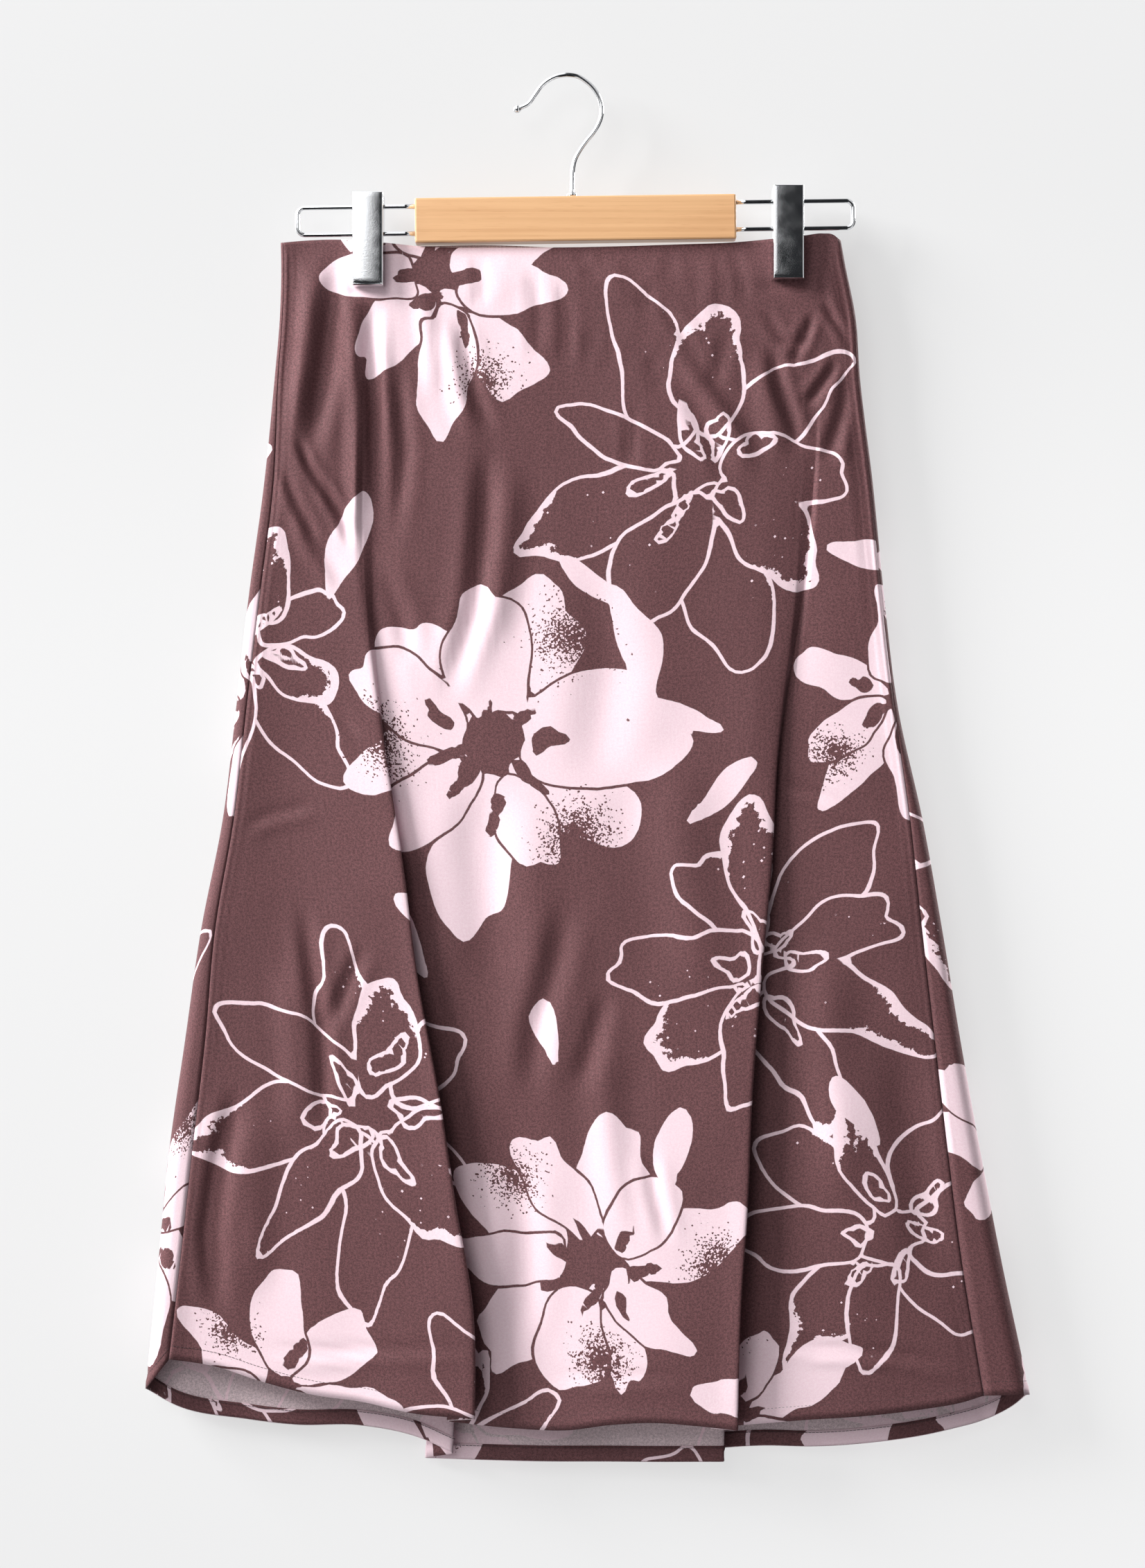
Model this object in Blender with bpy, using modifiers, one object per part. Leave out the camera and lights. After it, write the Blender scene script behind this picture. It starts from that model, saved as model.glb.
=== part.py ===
"""A midi skirt hanging on a clip hanger, modelled in Blender (metres, +Z up).

The origin is the inner top of the hanger's hook, +X is to the viewer's right, and +Y points away
from the viewer, towards the wall. The skirt is a tube of two panels: the front, and a back that
wraps a little round to the front at both side seams. Each panel hangs in three sections with a
lap between them. At a lap the upper section ends in a fold, the cloth returns behind it, and the
next section starts deeper. The tables give places in millimetres as they are seen from
VIEW_DISTANCE in front of the plane y = 0, and as_hung() takes that perspective off.
"""

import math

import bpy
import numpy as np

MM = 0.001
SEAM_GAP = 0.3
VIEW_DISTANCE = 1950.0
VIEW_HEIGHT = -452.0

# Cloth, in millimetres.
WALL = 1.2
HEM_WALL = 1.0
HEM_DEPTH = 10.0
HEM_INSET = WALL / 2 + SEAM_GAP + HEM_WALL / 2
ROWS = 19
COLUMNS = {"wrap": 3, "left": 10, "lap": 3, "middle": 10, "right": 10}

# The tube's half depth: pinched flat at the waist, open at the hem, and fuller at the sides.
PINCH_HEIGHT = -137.0
HEM_HEIGHT = -860.0
PINCH = 0.95
BELLY_AT_HEM = 6.0
SIDE_BULGE = (1.4, 3.5)
SIDE_REACH = (9.0, 60.0)
SIDE_ROUND = (2.4, 8.0)
SMALLEST_STRIP = 1.5

# The laps: how far the folded edge stands in front of the next section, and how far it covers it.
LAP_START = -160.0
FRONT_DROP = 16.0
BACK_DROP = 12.0
LAP_OPEN = 10.0
LAP_COVER = 21.0
BACK_SHIFT = (-13.0, -8.6)
FRONT_SWELL = 5.0
BACK_SWELL = 5.0

SIDE_COLUMNS = ("z", "left", "left_strip", "right_strip", "right")
SIDES = (
    (-100.0, -187.0, 1.5, 1.5, 170.0),
    (-118.0, -186.5, 1.5, 1.5, 173.2),
    (-154.0, -187.4, 1.5, 1.5, 180.3),
    (-190.0, -190.5, 2.0, 1.5, 182.9),
    (-261.0, -197.6, 5.8, 1.5, 191.4),
    (-332.0, -207.3, 6.8, 1.5, 198.5),
    (-403.0, -215.3, 6.4, 2.0, 207.3),
    (-474.0, -223.8, 6.8, 7.7, 222.9),
    (-545.0, -237.7, 8.7, 12.7, 235.6),
    (-616.0, -248.0, 12.6, 16.2, 247.3),
    (-687.0, -258.2, 14.6, 20.6, 260.0),
    (-758.0, -265.1, 13.7, 25.3, 273.7),
    (-829.0, -272.2, 12.6, 28.6, 288.8),
    (-890.0, -279.0, 12.0, 30.0, 301.0),
)

FOLD_COLUMNS = ("z", "left_edge", "right_edge")
FOLDS = (
    (-100.0, -134.2, 145.0),
    (-216.0, -134.1, 146.5),
    (-329.0, -133.6, 141.7),
    (-436.0, -119.4, 130.6),
    (-506.0, -107.9, 127.4),
    (-567.0, -99.9, 122.1),
    (-659.0, -83.0, 115.5),
    (-719.0, -73.7, 113.3),
    (-790.0, -62.0, 108.8),
    (-835.0, -60.6, 107.4),
    (-890.0, -62.6, 106.6),
)

# Edges: x and z of each point as seen.
TOP_EDGE = (
    (-187.0, -105.9),
    (-175.0, -104.8),
    (-157.6, -103.9),
    (-118.5, -106.0),
    (-101.0, -107.9),
    (-41.7, -108.9),
    (-12.9, -108.9),
    (67.9, -106.9),
    (104.2, -105.5),
    (126.9, -103.4),
    (147.7, -101.2),
    (160.0, -99.9),
    (168.0, -101.4),
    (171.5, -105.0),
)
# How far the back's top edge stands above the front's at each x.
BACK_RISE = ((-100.0, 0.0), (-85.0, 1.0), (-35.0, 1.0), (-15.0, 0.0))
FRONT_HEM = {
    "left": (
        (-262.0, -820.0),
        (-230.9, -825.0),
        (-202.5, -833.8),
        (-167.4, -842.7),
        (-135.9, -847.2),
        (-103.9, -854.3),
        (-62.6, -858.3),
    ),
    "middle": (
        (-83.0, -859.3),
        (-40.4, -864.0),
        (-3.6, -865.4),
        (23.1, -861.8),
        (51.5, -860.5),
        (79.9, -862.7),
        (106.6, -865.8),
    ),
    "right": (
        (85.0, -864.0),
        (150.5, -858.7),
        (179.8, -856.9),
        (224.2, -852.0),
        (253.5, -846.6),
        (264.0, -843.4),
    ),
}
BACK_HEM = {
    "left": (
        (-275.3, -838.7),
        (-258.0, -848.0),
        (-208.7, -858.3),
        (-176.7, -861.8),
        (-135.9, -862.2),
        (-96.8, -870.5),
        (-75.5, -880.0),
    ),
    "middle": ((-96.6, -883.0), (-26.2, -884.9), (58.6, -885.8), (98.1, -885.6)),
    "right": (
        (77.0, -878.0),
        (121.0, -875.1),
        (150.5, -875.6),
        (194.5, -872.5),
        (238.9, -865.1),
        (268.2, -856.9),
        (282.8, -849.8),
        (293.0, -842.6),
    ),
}
LEFT_WRAP_HEM = (-820.4, -838.7)
RIGHT_WRAP_HEM = (-843.2, -842.6)

# Hanger, in millimetres. It hangs a little askew, right end up.
TILT = math.radians(0.75)
BAR_CENTRE = (1.4, -91.2)
BAR_SIZE = (205.0, 13.0, 28.6)
BAR_EDGE = 1.2
WIRE_RADIUS = 1.5
RAIL_HALF = 177.6
RAIL_SPREAD = 8.7
RAIL_HEIGHT = -90.0
RAIL_CORNER = 4.5
HOOK_RADIUS = 1.5
HOOK_ROUTE = (
    (-34.0, -19.6),
    (-29.4, -17.4),
    (-24.7, -11.5),
    (-20.7, -5.9),
    (-16.7, -2.4),
    (-12.0, 0.1),
    (-7.2, 1.3),
    (-2.5, 1.5),
    (3.1, 0.4),
    (7.8, -2.4),
    (12.6, -6.7),
    (16.2, -12.3),
    (18.0, -18.6),
    (18.0, -24.2),
    (16.2, -29.7),
    (12.6, -35.7),
    (7.8, -41.6),
    (3.9, -47.2),
    (1.1, -52.7),
    (-0.3, -59.1),
    (-0.6, -66.0),
    (-0.7, -72.0),
)
HOOK_BALL = 2.5
HOOK_COLLAR = 3.4
COLLAR_HEIGHT = 2.2

# Clips: a chromed tray in front, with flanges that the upper wire runs through, and a back plate.
CLIP_WIDTH = 19.4
CLIP_HEIGHT = 59.4
CLIP_SHEET = 1.0
CLIP_FRONT = -12.0
CLIP_FLANGE_BACK = 8.0
CLIP_EDGE = 0.7
PLATE_INSET = 0.8
JAW = PINCH + WALL / 2 + SEAM_GAP
CLIPS = {"left": (-130.6, -75.3), "right": (137.0, -70.9)}

COLOURS = {
    "cloth": (0.159, 0.074, 0.080, 1.0),
    "wood": (0.847, 0.473, 0.231, 1.0),
    "chrome": (0.80, 0.81, 0.82, 1.0),
}


def clear_scene():
    for old in list(bpy.data.objects):
        bpy.data.objects.remove(old)


def material(name, colour, roughness, metallic):
    made = bpy.data.materials.new(name)
    made.use_nodes = True
    shader = made.node_tree.nodes["Principled BSDF"]
    shader.inputs["Base Color"].default_value = colour
    shader.inputs["Roughness"].default_value = roughness
    shader.inputs["Metallic"].default_value = metallic
    return made


def new_collection(name):
    made = bpy.data.collections.new(name)
    bpy.context.scene.collection.children.link(made)
    return made


def smooth(table, column, at):
    """A smooth curve through a table's rows: cubic pieces with finite-difference slopes."""
    rows = np.array(sorted(table))
    keys, values = rows[:, 0], rows[:, column]
    slopes = np.gradient(values, keys)
    at = np.clip(at, keys[0], keys[-1])
    low = np.clip(np.searchsorted(keys, at) - 1, 0, len(keys) - 2)
    span = keys[low + 1] - keys[low]
    part = (at - keys[low]) / span
    square, cube = part**2, part**3
    return (
        (2 * cube - 3 * square + 1) * values[low]
        + (cube - 2 * square + part) * span * slopes[low]
        + (3 * square - 2 * cube) * values[low + 1]
        + (cube - square) * span * slopes[low + 1]
    )


def straight(table, at):
    """Straight lines through a table of pairs."""
    rows = np.array(sorted(table))
    return np.interp(at, rows[:, 0], rows[:, 1])


def ease(value):
    value = np.clip(value, 0.0, 1.0)
    return value * value * (3 - 2 * value)


def between(pair, share):
    return pair[0] + (pair[1] - pair[0]) * share


def opening_share(z):
    """0 at the pinched waist, 1 at the hem."""
    return ease((PINCH_HEIGHT - z) / (PINCH_HEIGHT - HEM_HEIGHT))


def lap_share(z):
    """0 where the laps start, 1 at the hem."""
    return ease((LAP_START - z) / (LAP_START - HEM_HEIGHT))


def side(name, z):
    return smooth(SIDES, SIDE_COLUMNS.index(name), z)


def seam(name, z):
    """x of a side seam: the silhouette moved in by the strip of the back that shows."""
    strip = np.maximum(side(name + "_strip", z), SMALLEST_STRIP)
    return side(name, z) + (strip if name == "left" else -strip)


def fold_edge(name, z, panel):
    edge = smooth(FOLDS, FOLD_COLUMNS.index(name + "_edge"), z)
    if panel == "back":
        edge = edge + BACK_SHIFT[("left", "right").index(name)] * lap_share(z)
    return edge


def lap_root(name, z, panel):
    """x where the next section starts, behind the folded edge."""
    return fold_edge(name, z, panel) + LAP_OPEN - (LAP_OPEN + LAP_COVER) * lap_share(z)


def half_depth(x, z):
    """The tube's half depth at x, which rounds off to nothing at each silhouette."""
    share = opening_share(z)
    depth = PINCH + (BELLY_AT_HEM - PINCH) * share
    for distance in (x - side("left", z), side("right", z) - x):
        depth = depth + between(SIDE_BULGE, share) * np.exp(-((distance / between(SIDE_REACH, share)) ** 2))
    for distance in (x - side("left", z), side("right", z) - x):
        near = 1 - np.clip(distance / between(SIDE_ROUND, share), 0.0, 1.0)
        depth = depth * np.sqrt(1 - near**2)
    return depth


def front_stand(section, along, z):
    """How far the front stands forward of the plain tube, from 0 to 1 along a section."""
    drop = FRONT_DROP * lap_share(z)
    if section == "left":
        return drop * along**1.7
    if section == "left_lap" or section == "right_lap":
        return drop * (1 - along)
    if section == "middle":
        return drop * along**1.25
    return FRONT_SWELL * lap_share(z) * np.sin(math.pi * along)


def back_stand(section, along, z):
    """How far the back stands behind the plain tube, from 0 to 1 along a section."""
    drop = BACK_DROP * lap_share(z)
    if section == "left":
        return BACK_SWELL * lap_share(z) * np.sin(math.pi * along)
    if section == "left_lap" or section == "right_lap":
        return drop * along
    return drop * (1 - along**0.9)


def section_ends(section, z, panel):
    """x of a section's two ends at the height z."""
    if section == "left_wrap":
        return seam("left", z) - SEAM_GAP / 2, side("left", z)
    if section == "right_wrap":
        return side("right", z), seam("right", z) + SEAM_GAP / 2
    if section == "left":
        start = seam("left", z) + SEAM_GAP / 2 if panel == "front" else side("left", z)
        return start, fold_edge("left", z, panel)
    if section == "left_lap":
        return fold_edge("left", z, panel), lap_root("left", z, panel)
    if section == "middle":
        return lap_root("left", z, panel), fold_edge("right", z, panel)
    if section == "right_lap":
        return fold_edge("right", z, panel), lap_root("right", z, panel)
    end = seam("right", z) - SEAM_GAP / 2 if panel == "front" else side("right", z)
    return lap_root("right", z, panel), end


def spread(section, count):
    """Shares across a section, closer together towards a silhouette."""
    even = np.linspace(0.0, 1.0, count + 1)
    if section == "left_wrap":
        return np.cos(math.pi / 2 * (1 - even))
    if section == "right_wrap":
        return 1 - np.cos(math.pi / 2 * even)
    if section == "left":
        return even**2
    if section == "right":
        return 1 - (1 - even) ** 2
    return even


def edge_height(section, share, x, panel, lower):
    """z of the waist's or the hem's edge for each column of a section."""
    if not lower:
        rise = straight(BACK_RISE, x) if panel == "back" else 0.0
        return straight(TOP_EDGE, x) + rise
    if section == "left_wrap":
        return between(LEFT_WRAP_HEM, share)
    if section == "right_wrap":
        return between(RIGHT_WRAP_HEM[::-1], share)
    hem = FRONT_HEM if panel == "front" else BACK_HEM
    if section == "left_lap":
        return between((hem["left"][-1][1], hem["middle"][0][1]), share)
    if section == "right_lap":
        return between((hem["middle"][-1][1], hem["right"][0][1]), share)
    return straight(hem[section], x)


def as_hung(x, y, z):
    """Real places from places as seen: what lies deeper is farther from the view's centre."""
    scale = 1 + y / VIEW_DISTANCE
    return np.stack([x * scale, y, VIEW_HEIGHT + (z - VIEW_HEIGHT) * scale], axis=-1)


def section_points(section, panel, shares, downs):
    """Points of one section, a row for each share of the way down and a column for each across."""
    share = np.asarray(shares)[None, :]
    down = np.asarray(downs)[:, None]
    top_start, top_end = section_ends(section, np.full(share.shape, TOP_EDGE[0][1]), panel)
    low_start, low_end = section_ends(section, np.full(share.shape, HEM_HEIGHT), panel)
    top = edge_height(section, share, top_start + (top_end - top_start) * share, panel, False)
    low = edge_height(section, share, low_start + (low_end - low_start) * share, panel, True)
    z = top + (low - top) * down
    start, end = section_ends(section, z, panel)
    x = start + (end - start) * share
    if panel == "front":
        y = -half_depth(x, z) - front_stand(section, share, z)
        return as_hung(x, y, z)
    if section.endswith("wrap"):
        return as_hung(x, -half_depth(x, z) - wrap_stand(section, x, z), z)
    return as_hung(x, half_depth(x, z) + back_stand(section, share, z), z)


def wrap_stand(section, x, z):
    """The front's own stand carried on over a wrap, fading out at the silhouette."""
    name = section.split("_")[0]
    edge = seam(name, z)
    start, end = section_ends(name, z, "front")
    along = (edge - start) / (end - start)
    reach = np.clip((x - side(name, z)) / (edge - side(name, z)), 0.0, 1.0)
    return front_stand(name, np.clip(along, 0.0, 1.0), z) * reach


def panel_points(panel, downs):
    """A whole panel's grid of points, left seam to right seam, and each section's columns."""
    names = ["left", "left_lap", "middle", "right_lap", "right"]
    if panel == "back":
        names = ["left_wrap"] + names + ["right_wrap"]
    grids = []
    columns = {}
    total = 0
    for name in names:
        count = COLUMNS["wrap" if "wrap" in name else "lap" if "lap" in name else name]
        shares = spread(name, count)
        if grids:
            shares = shares[1:]
        grid = section_points(name, panel, shares, downs)
        columns[name] = (max(total - 1, 0), total + len(shares) - 1)
        total += len(shares)
        grids.append(grid)
    points = np.concatenate(grids, axis=1)
    return points, columns


def facing_viewer(points):
    """Unit normals of a panel's grid: out of the tube on the front, into it on the back."""
    across = np.gradient(points, axis=1)
    down = np.gradient(points, axis=0)
    normal = np.cross(down, across)
    return normal / np.linalg.norm(normal, axis=-1, keepdims=True)


def grid_object(name, points, wall, finish, collection):
    """A grid of points as an open surface, thickened evenly about it by Solidify."""
    rows, columns, _ = points.shape
    index = np.arange(rows * columns).reshape(rows, columns)
    faces = np.stack([index[:-1, :-1], index[1:, :-1], index[1:, 1:], index[:-1, 1:]], axis=-1)
    mesh = bpy.data.meshes.new(name)
    mesh.from_pydata((points.reshape(-1, 3) * MM).tolist(), [], faces.reshape(-1, 4).tolist())
    mesh.shade_smooth()
    made = bpy.data.objects.new(name, mesh)
    thicken = made.modifiers.new("wall", "SOLIDIFY")
    thicken.thickness = wall * MM
    thicken.offset = 0.0
    made.data.materials.append(finish)
    collection.objects.link(made)
    return made


def build_panel(panel, finish, collection):
    downs = np.linspace(0.0, 1.0, ROWS)
    points, _ = panel_points(panel, downs)
    grid_object(panel + "_panel", points, WALL, finish, collection)


def build_hem(panel, finish, collection):
    """The turned-up strips inside a panel, one for each section, made from its points moved in."""
    length = TOP_EDGE[0][1] - HEM_HEIGHT
    low = 1 - (HEM_WALL / 2) / length
    high = 1 - HEM_DEPTH / length
    points, columns = panel_points(panel, np.array([high - HEM_DEPTH / length, high, low, 1.0]))
    inwards = -1.0 if panel == "front" else 1.0
    inner = (points + facing_viewer(points) * inwards * HEM_INSET)[1:3]
    for name in ("left", "middle", "right"):
        first, last = columns[name]
        strip = inner[:, first + 2 : last - 1]
        grid_object(f"{panel}_hem_{name}", strip, HEM_WALL, finish, collection)


def tube(name, route, radii, radius, finish, collection):
    """A wire along a route of (x, y, z) points, as a bevelled poly curve with filled caps."""
    curve = bpy.data.curves.new(name, "CURVE")
    curve.dimensions = "3D"
    curve.bevel_depth = radius * MM
    curve.bevel_resolution = 2
    curve.use_fill_caps = True
    spline = curve.splines.new("POLY")
    spline.points.add(len(route) - 1)
    for point, place, share in zip(spline.points, route, radii):
        point.co = (place[0] * MM, place[1] * MM, place[2] * MM, 1.0)
        point.radius = share
    made = bpy.data.objects.new(name, curve)
    made.data.materials.append(finish)
    collection.objects.link(made)
    return made


def build_hook(finish, collection):
    """The hook: a ball at its free end, the bend, the neck, and a collar on the bar."""
    rows = np.array(HOOK_ROUTE)
    steps = np.r_[0.0, np.cumsum(np.hypot(*np.diff(rows, axis=0).T))]
    table_x = np.column_stack([steps, rows[:, 0]])
    table_z = np.column_stack([steps, rows[:, 1]])
    along = np.linspace(0.0, steps[-1], 46)
    x = smooth(table_x.tolist(), 1, along)
    z = smooth(table_z.tolist(), 1, along)
    route = [(float(a), 0.0, float(b)) for a, b in zip(x, z)]
    radii = [1.0] * len(route)
    away = np.array([x[0] - x[1], z[0] - z[1]])
    away = away / np.linalg.norm(away)
    ball = []
    for angle in np.linspace(0.12 * math.pi, 0.80 * math.pi, 6):
        centre = HOOK_BALL * 0.8
        reach = centre + HOOK_BALL * math.cos(angle)
        ball.append((x[0] + away[0] * reach, 0.0, z[0] + away[1] * reach))
        radii.insert(len(ball) - 1, HOOK_BALL * math.sin(angle) / HOOK_RADIUS)
    route = ball + route
    foot = bar_top(route[-1][0]) + SEAM_GAP
    collar = [foot + COLLAR_HEIGHT + 0.4, foot + COLLAR_HEIGHT, foot + 0.4, foot]
    route += [(route[-1][0], 0.0, height) for height in collar]
    radii += [1.0] + [HOOK_COLLAR / HOOK_RADIUS] * 2 + [HOOK_COLLAR * 0.9 / HOOK_RADIUS]
    tube("hook", route, radii, HOOK_RADIUS, finish, collection)


def bar_top(x):
    return BAR_CENTRE[1] + BAR_SIZE[2] / 2 / math.cos(TILT) + (x - BAR_CENTRE[0]) * math.tan(TILT)


def build_bar(finish, collection):
    bpy.ops.mesh.primitive_cube_add(size=1.0)
    bar = bpy.context.object
    bar.name = "wood_bar"
    bar.scale = [size * MM for size in BAR_SIZE]
    bpy.ops.object.transform_apply(location=False, rotation=False, scale=True)
    bar.location = (BAR_CENTRE[0] * MM, 0.0, BAR_CENTRE[1] * MM)
    bar.rotation_euler = (0.0, -TILT, 0.0)
    soften = bar.modifiers.new("edges", "BEVEL")
    soften.width = BAR_EDGE * MM
    soften.segments = 2
    bar.data.materials.append(finish)
    move_to(bar, collection)


def build_rail(name, sign, finish, collection):
    """One end loop of the rail: two wires out of the bar's end and a rounded end between them."""
    root = BAR_SIZE[0] / 2 + SEAM_GAP
    turn = RAIL_HALF - RAIL_CORNER
    inner = RAIL_SPREAD - RAIL_CORNER
    quarter = np.linspace(0.0, math.pi / 2, 6)
    upper = [(turn + RAIL_CORNER * math.sin(a), inner + RAIL_CORNER * math.cos(a)) for a in quarter]
    straight_part = [(x, RAIL_SPREAD) for x in np.linspace(root, turn, 5)[:-1]]
    half = straight_part + upper
    path = half + [(x, -z) for x, z in reversed(half)]
    route = [(sign * x, 0.0, z) for x, z in path]
    loop = tube(name, route, [1.0] * len(route), WIRE_RADIUS, finish, collection)
    loop.location = (BAR_CENTRE[0] * MM, 0.0, RAIL_HEIGHT * MM)
    loop.rotation_euler = (0.0, -TILT, 0.0)


def rail_height(x, sign):
    """z of the upper (sign 1) or lower (sign -1) wire at x."""
    return RAIL_HEIGHT + (x - BAR_CENTRE[0]) * math.tan(TILT) + sign * RAIL_SPREAD


def move_to(made, collection):
    for old in list(made.users_collection):
        old.objects.unlink(made)
    collection.objects.link(made)


def block(name, low, high, collection):
    """A box between two corners, in millimetres, with its place in its mesh."""
    bpy.ops.mesh.primitive_cube_add(size=1.0)
    made = bpy.context.object
    made.name = name
    made.scale = [(b - a) * MM for a, b in zip(low, high)]
    made.location = [(a + b) / 2 * MM for a, b in zip(low, high)]
    bpy.ops.object.transform_apply(location=True, rotation=True, scale=True)
    move_to(made, collection)
    return made


def cut(target, cutter):
    cutter.hide_render = True
    cutter.display_type = "WIRE"
    change = target.modifiers.new(cutter.name, "BOOLEAN")
    change.operation = "DIFFERENCE"
    change.object = cutter


def build_clip(name, finish, collection, cutters):
    """A clip: the tray, open at the back and cut away over the cloth, and the plate behind it."""
    middle, top = CLIPS[name]
    bottom = top - CLIP_HEIGHT
    half = CLIP_WIDTH / 2
    far = CLIP_WIDTH
    lower_wire = rail_height(middle, -1) + WIRE_RADIUS + SEAM_GAP
    tray = block(
        name + "_clip_tray",
        (middle - half, CLIP_FRONT, bottom),
        (middle + half, CLIP_FLANGE_BACK, top),
        collection,
    )
    soften = tray.modifiers.new("edges", "BEVEL")
    soften.width = CLIP_EDGE * MM
    soften.segments = 2
    channel = block(
        name + "_channel",
        (middle - half + CLIP_SHEET, CLIP_FRONT + CLIP_SHEET, bottom + CLIP_SHEET * 1.5),
        (middle + half - CLIP_SHEET, far, top - CLIP_SHEET),
        cutters,
    )
    cut(tray, channel)
    relief = block(
        name + "_relief",
        (middle - far, -JAW, bottom - far),
        (middle + far, far, lower_wire + 0.2),
        cutters,
    )
    cut(tray, relief)
    bpy.ops.mesh.primitive_cylinder_add(
        vertices=12,
        radius=(WIRE_RADIUS + SEAM_GAP) / math.cos(math.pi / 12) * MM,
        depth=2 * far * MM,
        location=(middle * MM, 0.0, rail_height(middle, 1) * MM),
        rotation=(0.0, math.pi / 2 - TILT, 0.0),
    )
    bore = bpy.context.object
    bore.name = name + "_wire_bore"
    move_to(bore, cutters)
    cut(tray, bore)
    tray.data.materials.append(finish)
    plate = block(
        name + "_clip_plate",
        (middle - half + PLATE_INSET, JAW, bottom + 0.5),
        (middle + half - PLATE_INSET, CLIP_FLANGE_BACK + SEAM_GAP + CLIP_SHEET, top - 4.0),
        collection,
    )
    hollow = block(
        name + "_plate_hollow",
        (middle - far, -far, bottom + 0.5 + CLIP_SHEET * 1.5),
        (middle + far, CLIP_FLANGE_BACK + SEAM_GAP, top + far),
        cutters,
    )
    cut(plate, hollow)
    plate.data.materials.append(finish)


def main():
    clear_scene()
    skirt = new_collection("midi_skirt")
    cutters = new_collection("cutters")
    cloth = material("printed_viscose", COLOURS["cloth"], 0.75, 0.0)
    wood = material("beech", COLOURS["wood"], 0.45, 0.0)
    chrome = material("chrome", COLOURS["chrome"], 0.12, 1.0)
    for panel in ("front", "back"):
        build_panel(panel, cloth, skirt)
        build_hem(panel, cloth, skirt)
    build_bar(wood, skirt)
    build_hook(chrome, skirt)
    build_rail("rail_left", -1, chrome, skirt)
    build_rail("rail_right", 1, chrome, skirt)
    for name in CLIPS:
        build_clip(name, chrome, skirt, cutters)


main()
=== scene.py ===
"""A midi skirt of printed viscose on a wood and wire clip hanger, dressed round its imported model.

Metres, +Z up. The origin is the inner top of the hook, +X is to the viewer's right and +Y points
away from the viewer. Shapes are worked out in millimetres, as they are seen from VIEW_DISTANCE in
front of the plane y = 0, and as_hung() takes that perspective off.
"""

import logging
import math
from dataclasses import dataclass
from enum import Enum

import bpy
import numpy as np
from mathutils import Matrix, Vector


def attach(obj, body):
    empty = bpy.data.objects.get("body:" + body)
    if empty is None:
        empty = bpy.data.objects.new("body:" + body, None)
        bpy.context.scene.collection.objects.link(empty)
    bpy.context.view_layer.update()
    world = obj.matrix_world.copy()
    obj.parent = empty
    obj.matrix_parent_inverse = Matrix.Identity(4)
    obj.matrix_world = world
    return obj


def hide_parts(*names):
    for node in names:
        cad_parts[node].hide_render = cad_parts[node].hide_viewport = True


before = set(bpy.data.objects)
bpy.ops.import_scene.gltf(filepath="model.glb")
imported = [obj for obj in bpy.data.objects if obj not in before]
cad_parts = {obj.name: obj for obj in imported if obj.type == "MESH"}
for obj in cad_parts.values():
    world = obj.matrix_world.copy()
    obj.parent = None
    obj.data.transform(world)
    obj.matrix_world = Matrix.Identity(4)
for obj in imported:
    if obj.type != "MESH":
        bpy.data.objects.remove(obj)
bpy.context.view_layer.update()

Array = np.ndarray
Table = tuple[tuple[float, ...], ...]
Pair = tuple[float, float]
Triple = tuple[float, float, float]
Colour = tuple[float, float, float, float]
Material = bpy.types.Material
Piece = bpy.types.Object
Socket = bpy.types.NodeSocket

MM = 0.001
VIEW_DISTANCE = 1950.0
VIEW_HEIGHT = -452.0
LOG = logging.getLogger("midi_skirt")


class Panel(Enum):
    """The two cut panels of the skirt."""

    FRONT = "front"
    BACK = "back"

    @property
    def outwards(self) -> float:
        """1 where a grid's normals point out of the tube, and -1 where they point into it."""
        return 1.0 if self is Panel.FRONT else -1.0


class Bloom(Enum):
    """How a printed blossom is drawn."""

    FILLED = "filled"
    DRAWN = "drawn"


class Profile(Enum):
    """The cross-section of a crease."""

    TROUGH = "trough"
    RIDGE = "ridge"
    STEP = "step"


def smooth(table: Table, column: int, at: Array) -> Array:
    """A smooth curve through a table's rows: cubic pieces with finite-difference slopes.

    Args:
        table: Rows whose first number is the key.
        column: Which number of each row is wanted.
        at: The keys to read it at.

    Returns:
        The curve's values at those keys.
    """
    rows = np.array(sorted(table), dtype=float)
    keys, values = rows[:, 0], rows[:, column]
    slopes = np.gradient(values, keys)
    at = np.clip(at, keys[0], keys[-1])
    low = np.clip(np.searchsorted(keys, at) - 1, 0, len(keys) - 2)
    span = keys[low + 1] - keys[low]
    part = (at - keys[low]) / span
    square, cube = part**2, part**3
    return (
        (2 * cube - 3 * square + 1) * values[low]
        + (cube - 2 * square + part) * span * slopes[low]
        + (3 * square - 2 * cube) * values[low + 1]
        + (cube - square) * span * slopes[low + 1]
    )


def ease(value: Array) -> Array:
    """A soft step from 0 to 1: 3v^2 - 2v^3, held at both ends."""
    value = np.clip(value, 0.0, 1.0)
    return value * value * (3 - 2 * value)


def below(z: Array, start: float, within: float) -> Array:
    """A soft step from 0 at the height start to 1 at a distance below it."""
    return ease((start - z) / within)


def between(pair: Pair, share: Array) -> Array:
    """A straight mix of a pair of values."""
    return pair[0] + (pair[1] - pair[0]) * share


def as_hung(x: Array, y: Array, z: Array) -> Array:
    """Real places from places as seen: what lies deeper is farther from the view's centre.

    Args:
        x: Places across, as seen.
        y: Real depths.
        z: Heights, as seen.

    Returns:
        Points, with a last axis of three.
    """
    scale = 1 + y / VIEW_DISTANCE
    return np.stack([x * scale, y, VIEW_HEIGHT + (z - VIEW_HEIGHT) * scale], axis=-1)


def unit(vectors: Array) -> Array:
    """Vectors scaled to length one."""
    return vectors / np.maximum(np.linalg.norm(vectors, axis=-1, keepdims=True), 1e-9)


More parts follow.
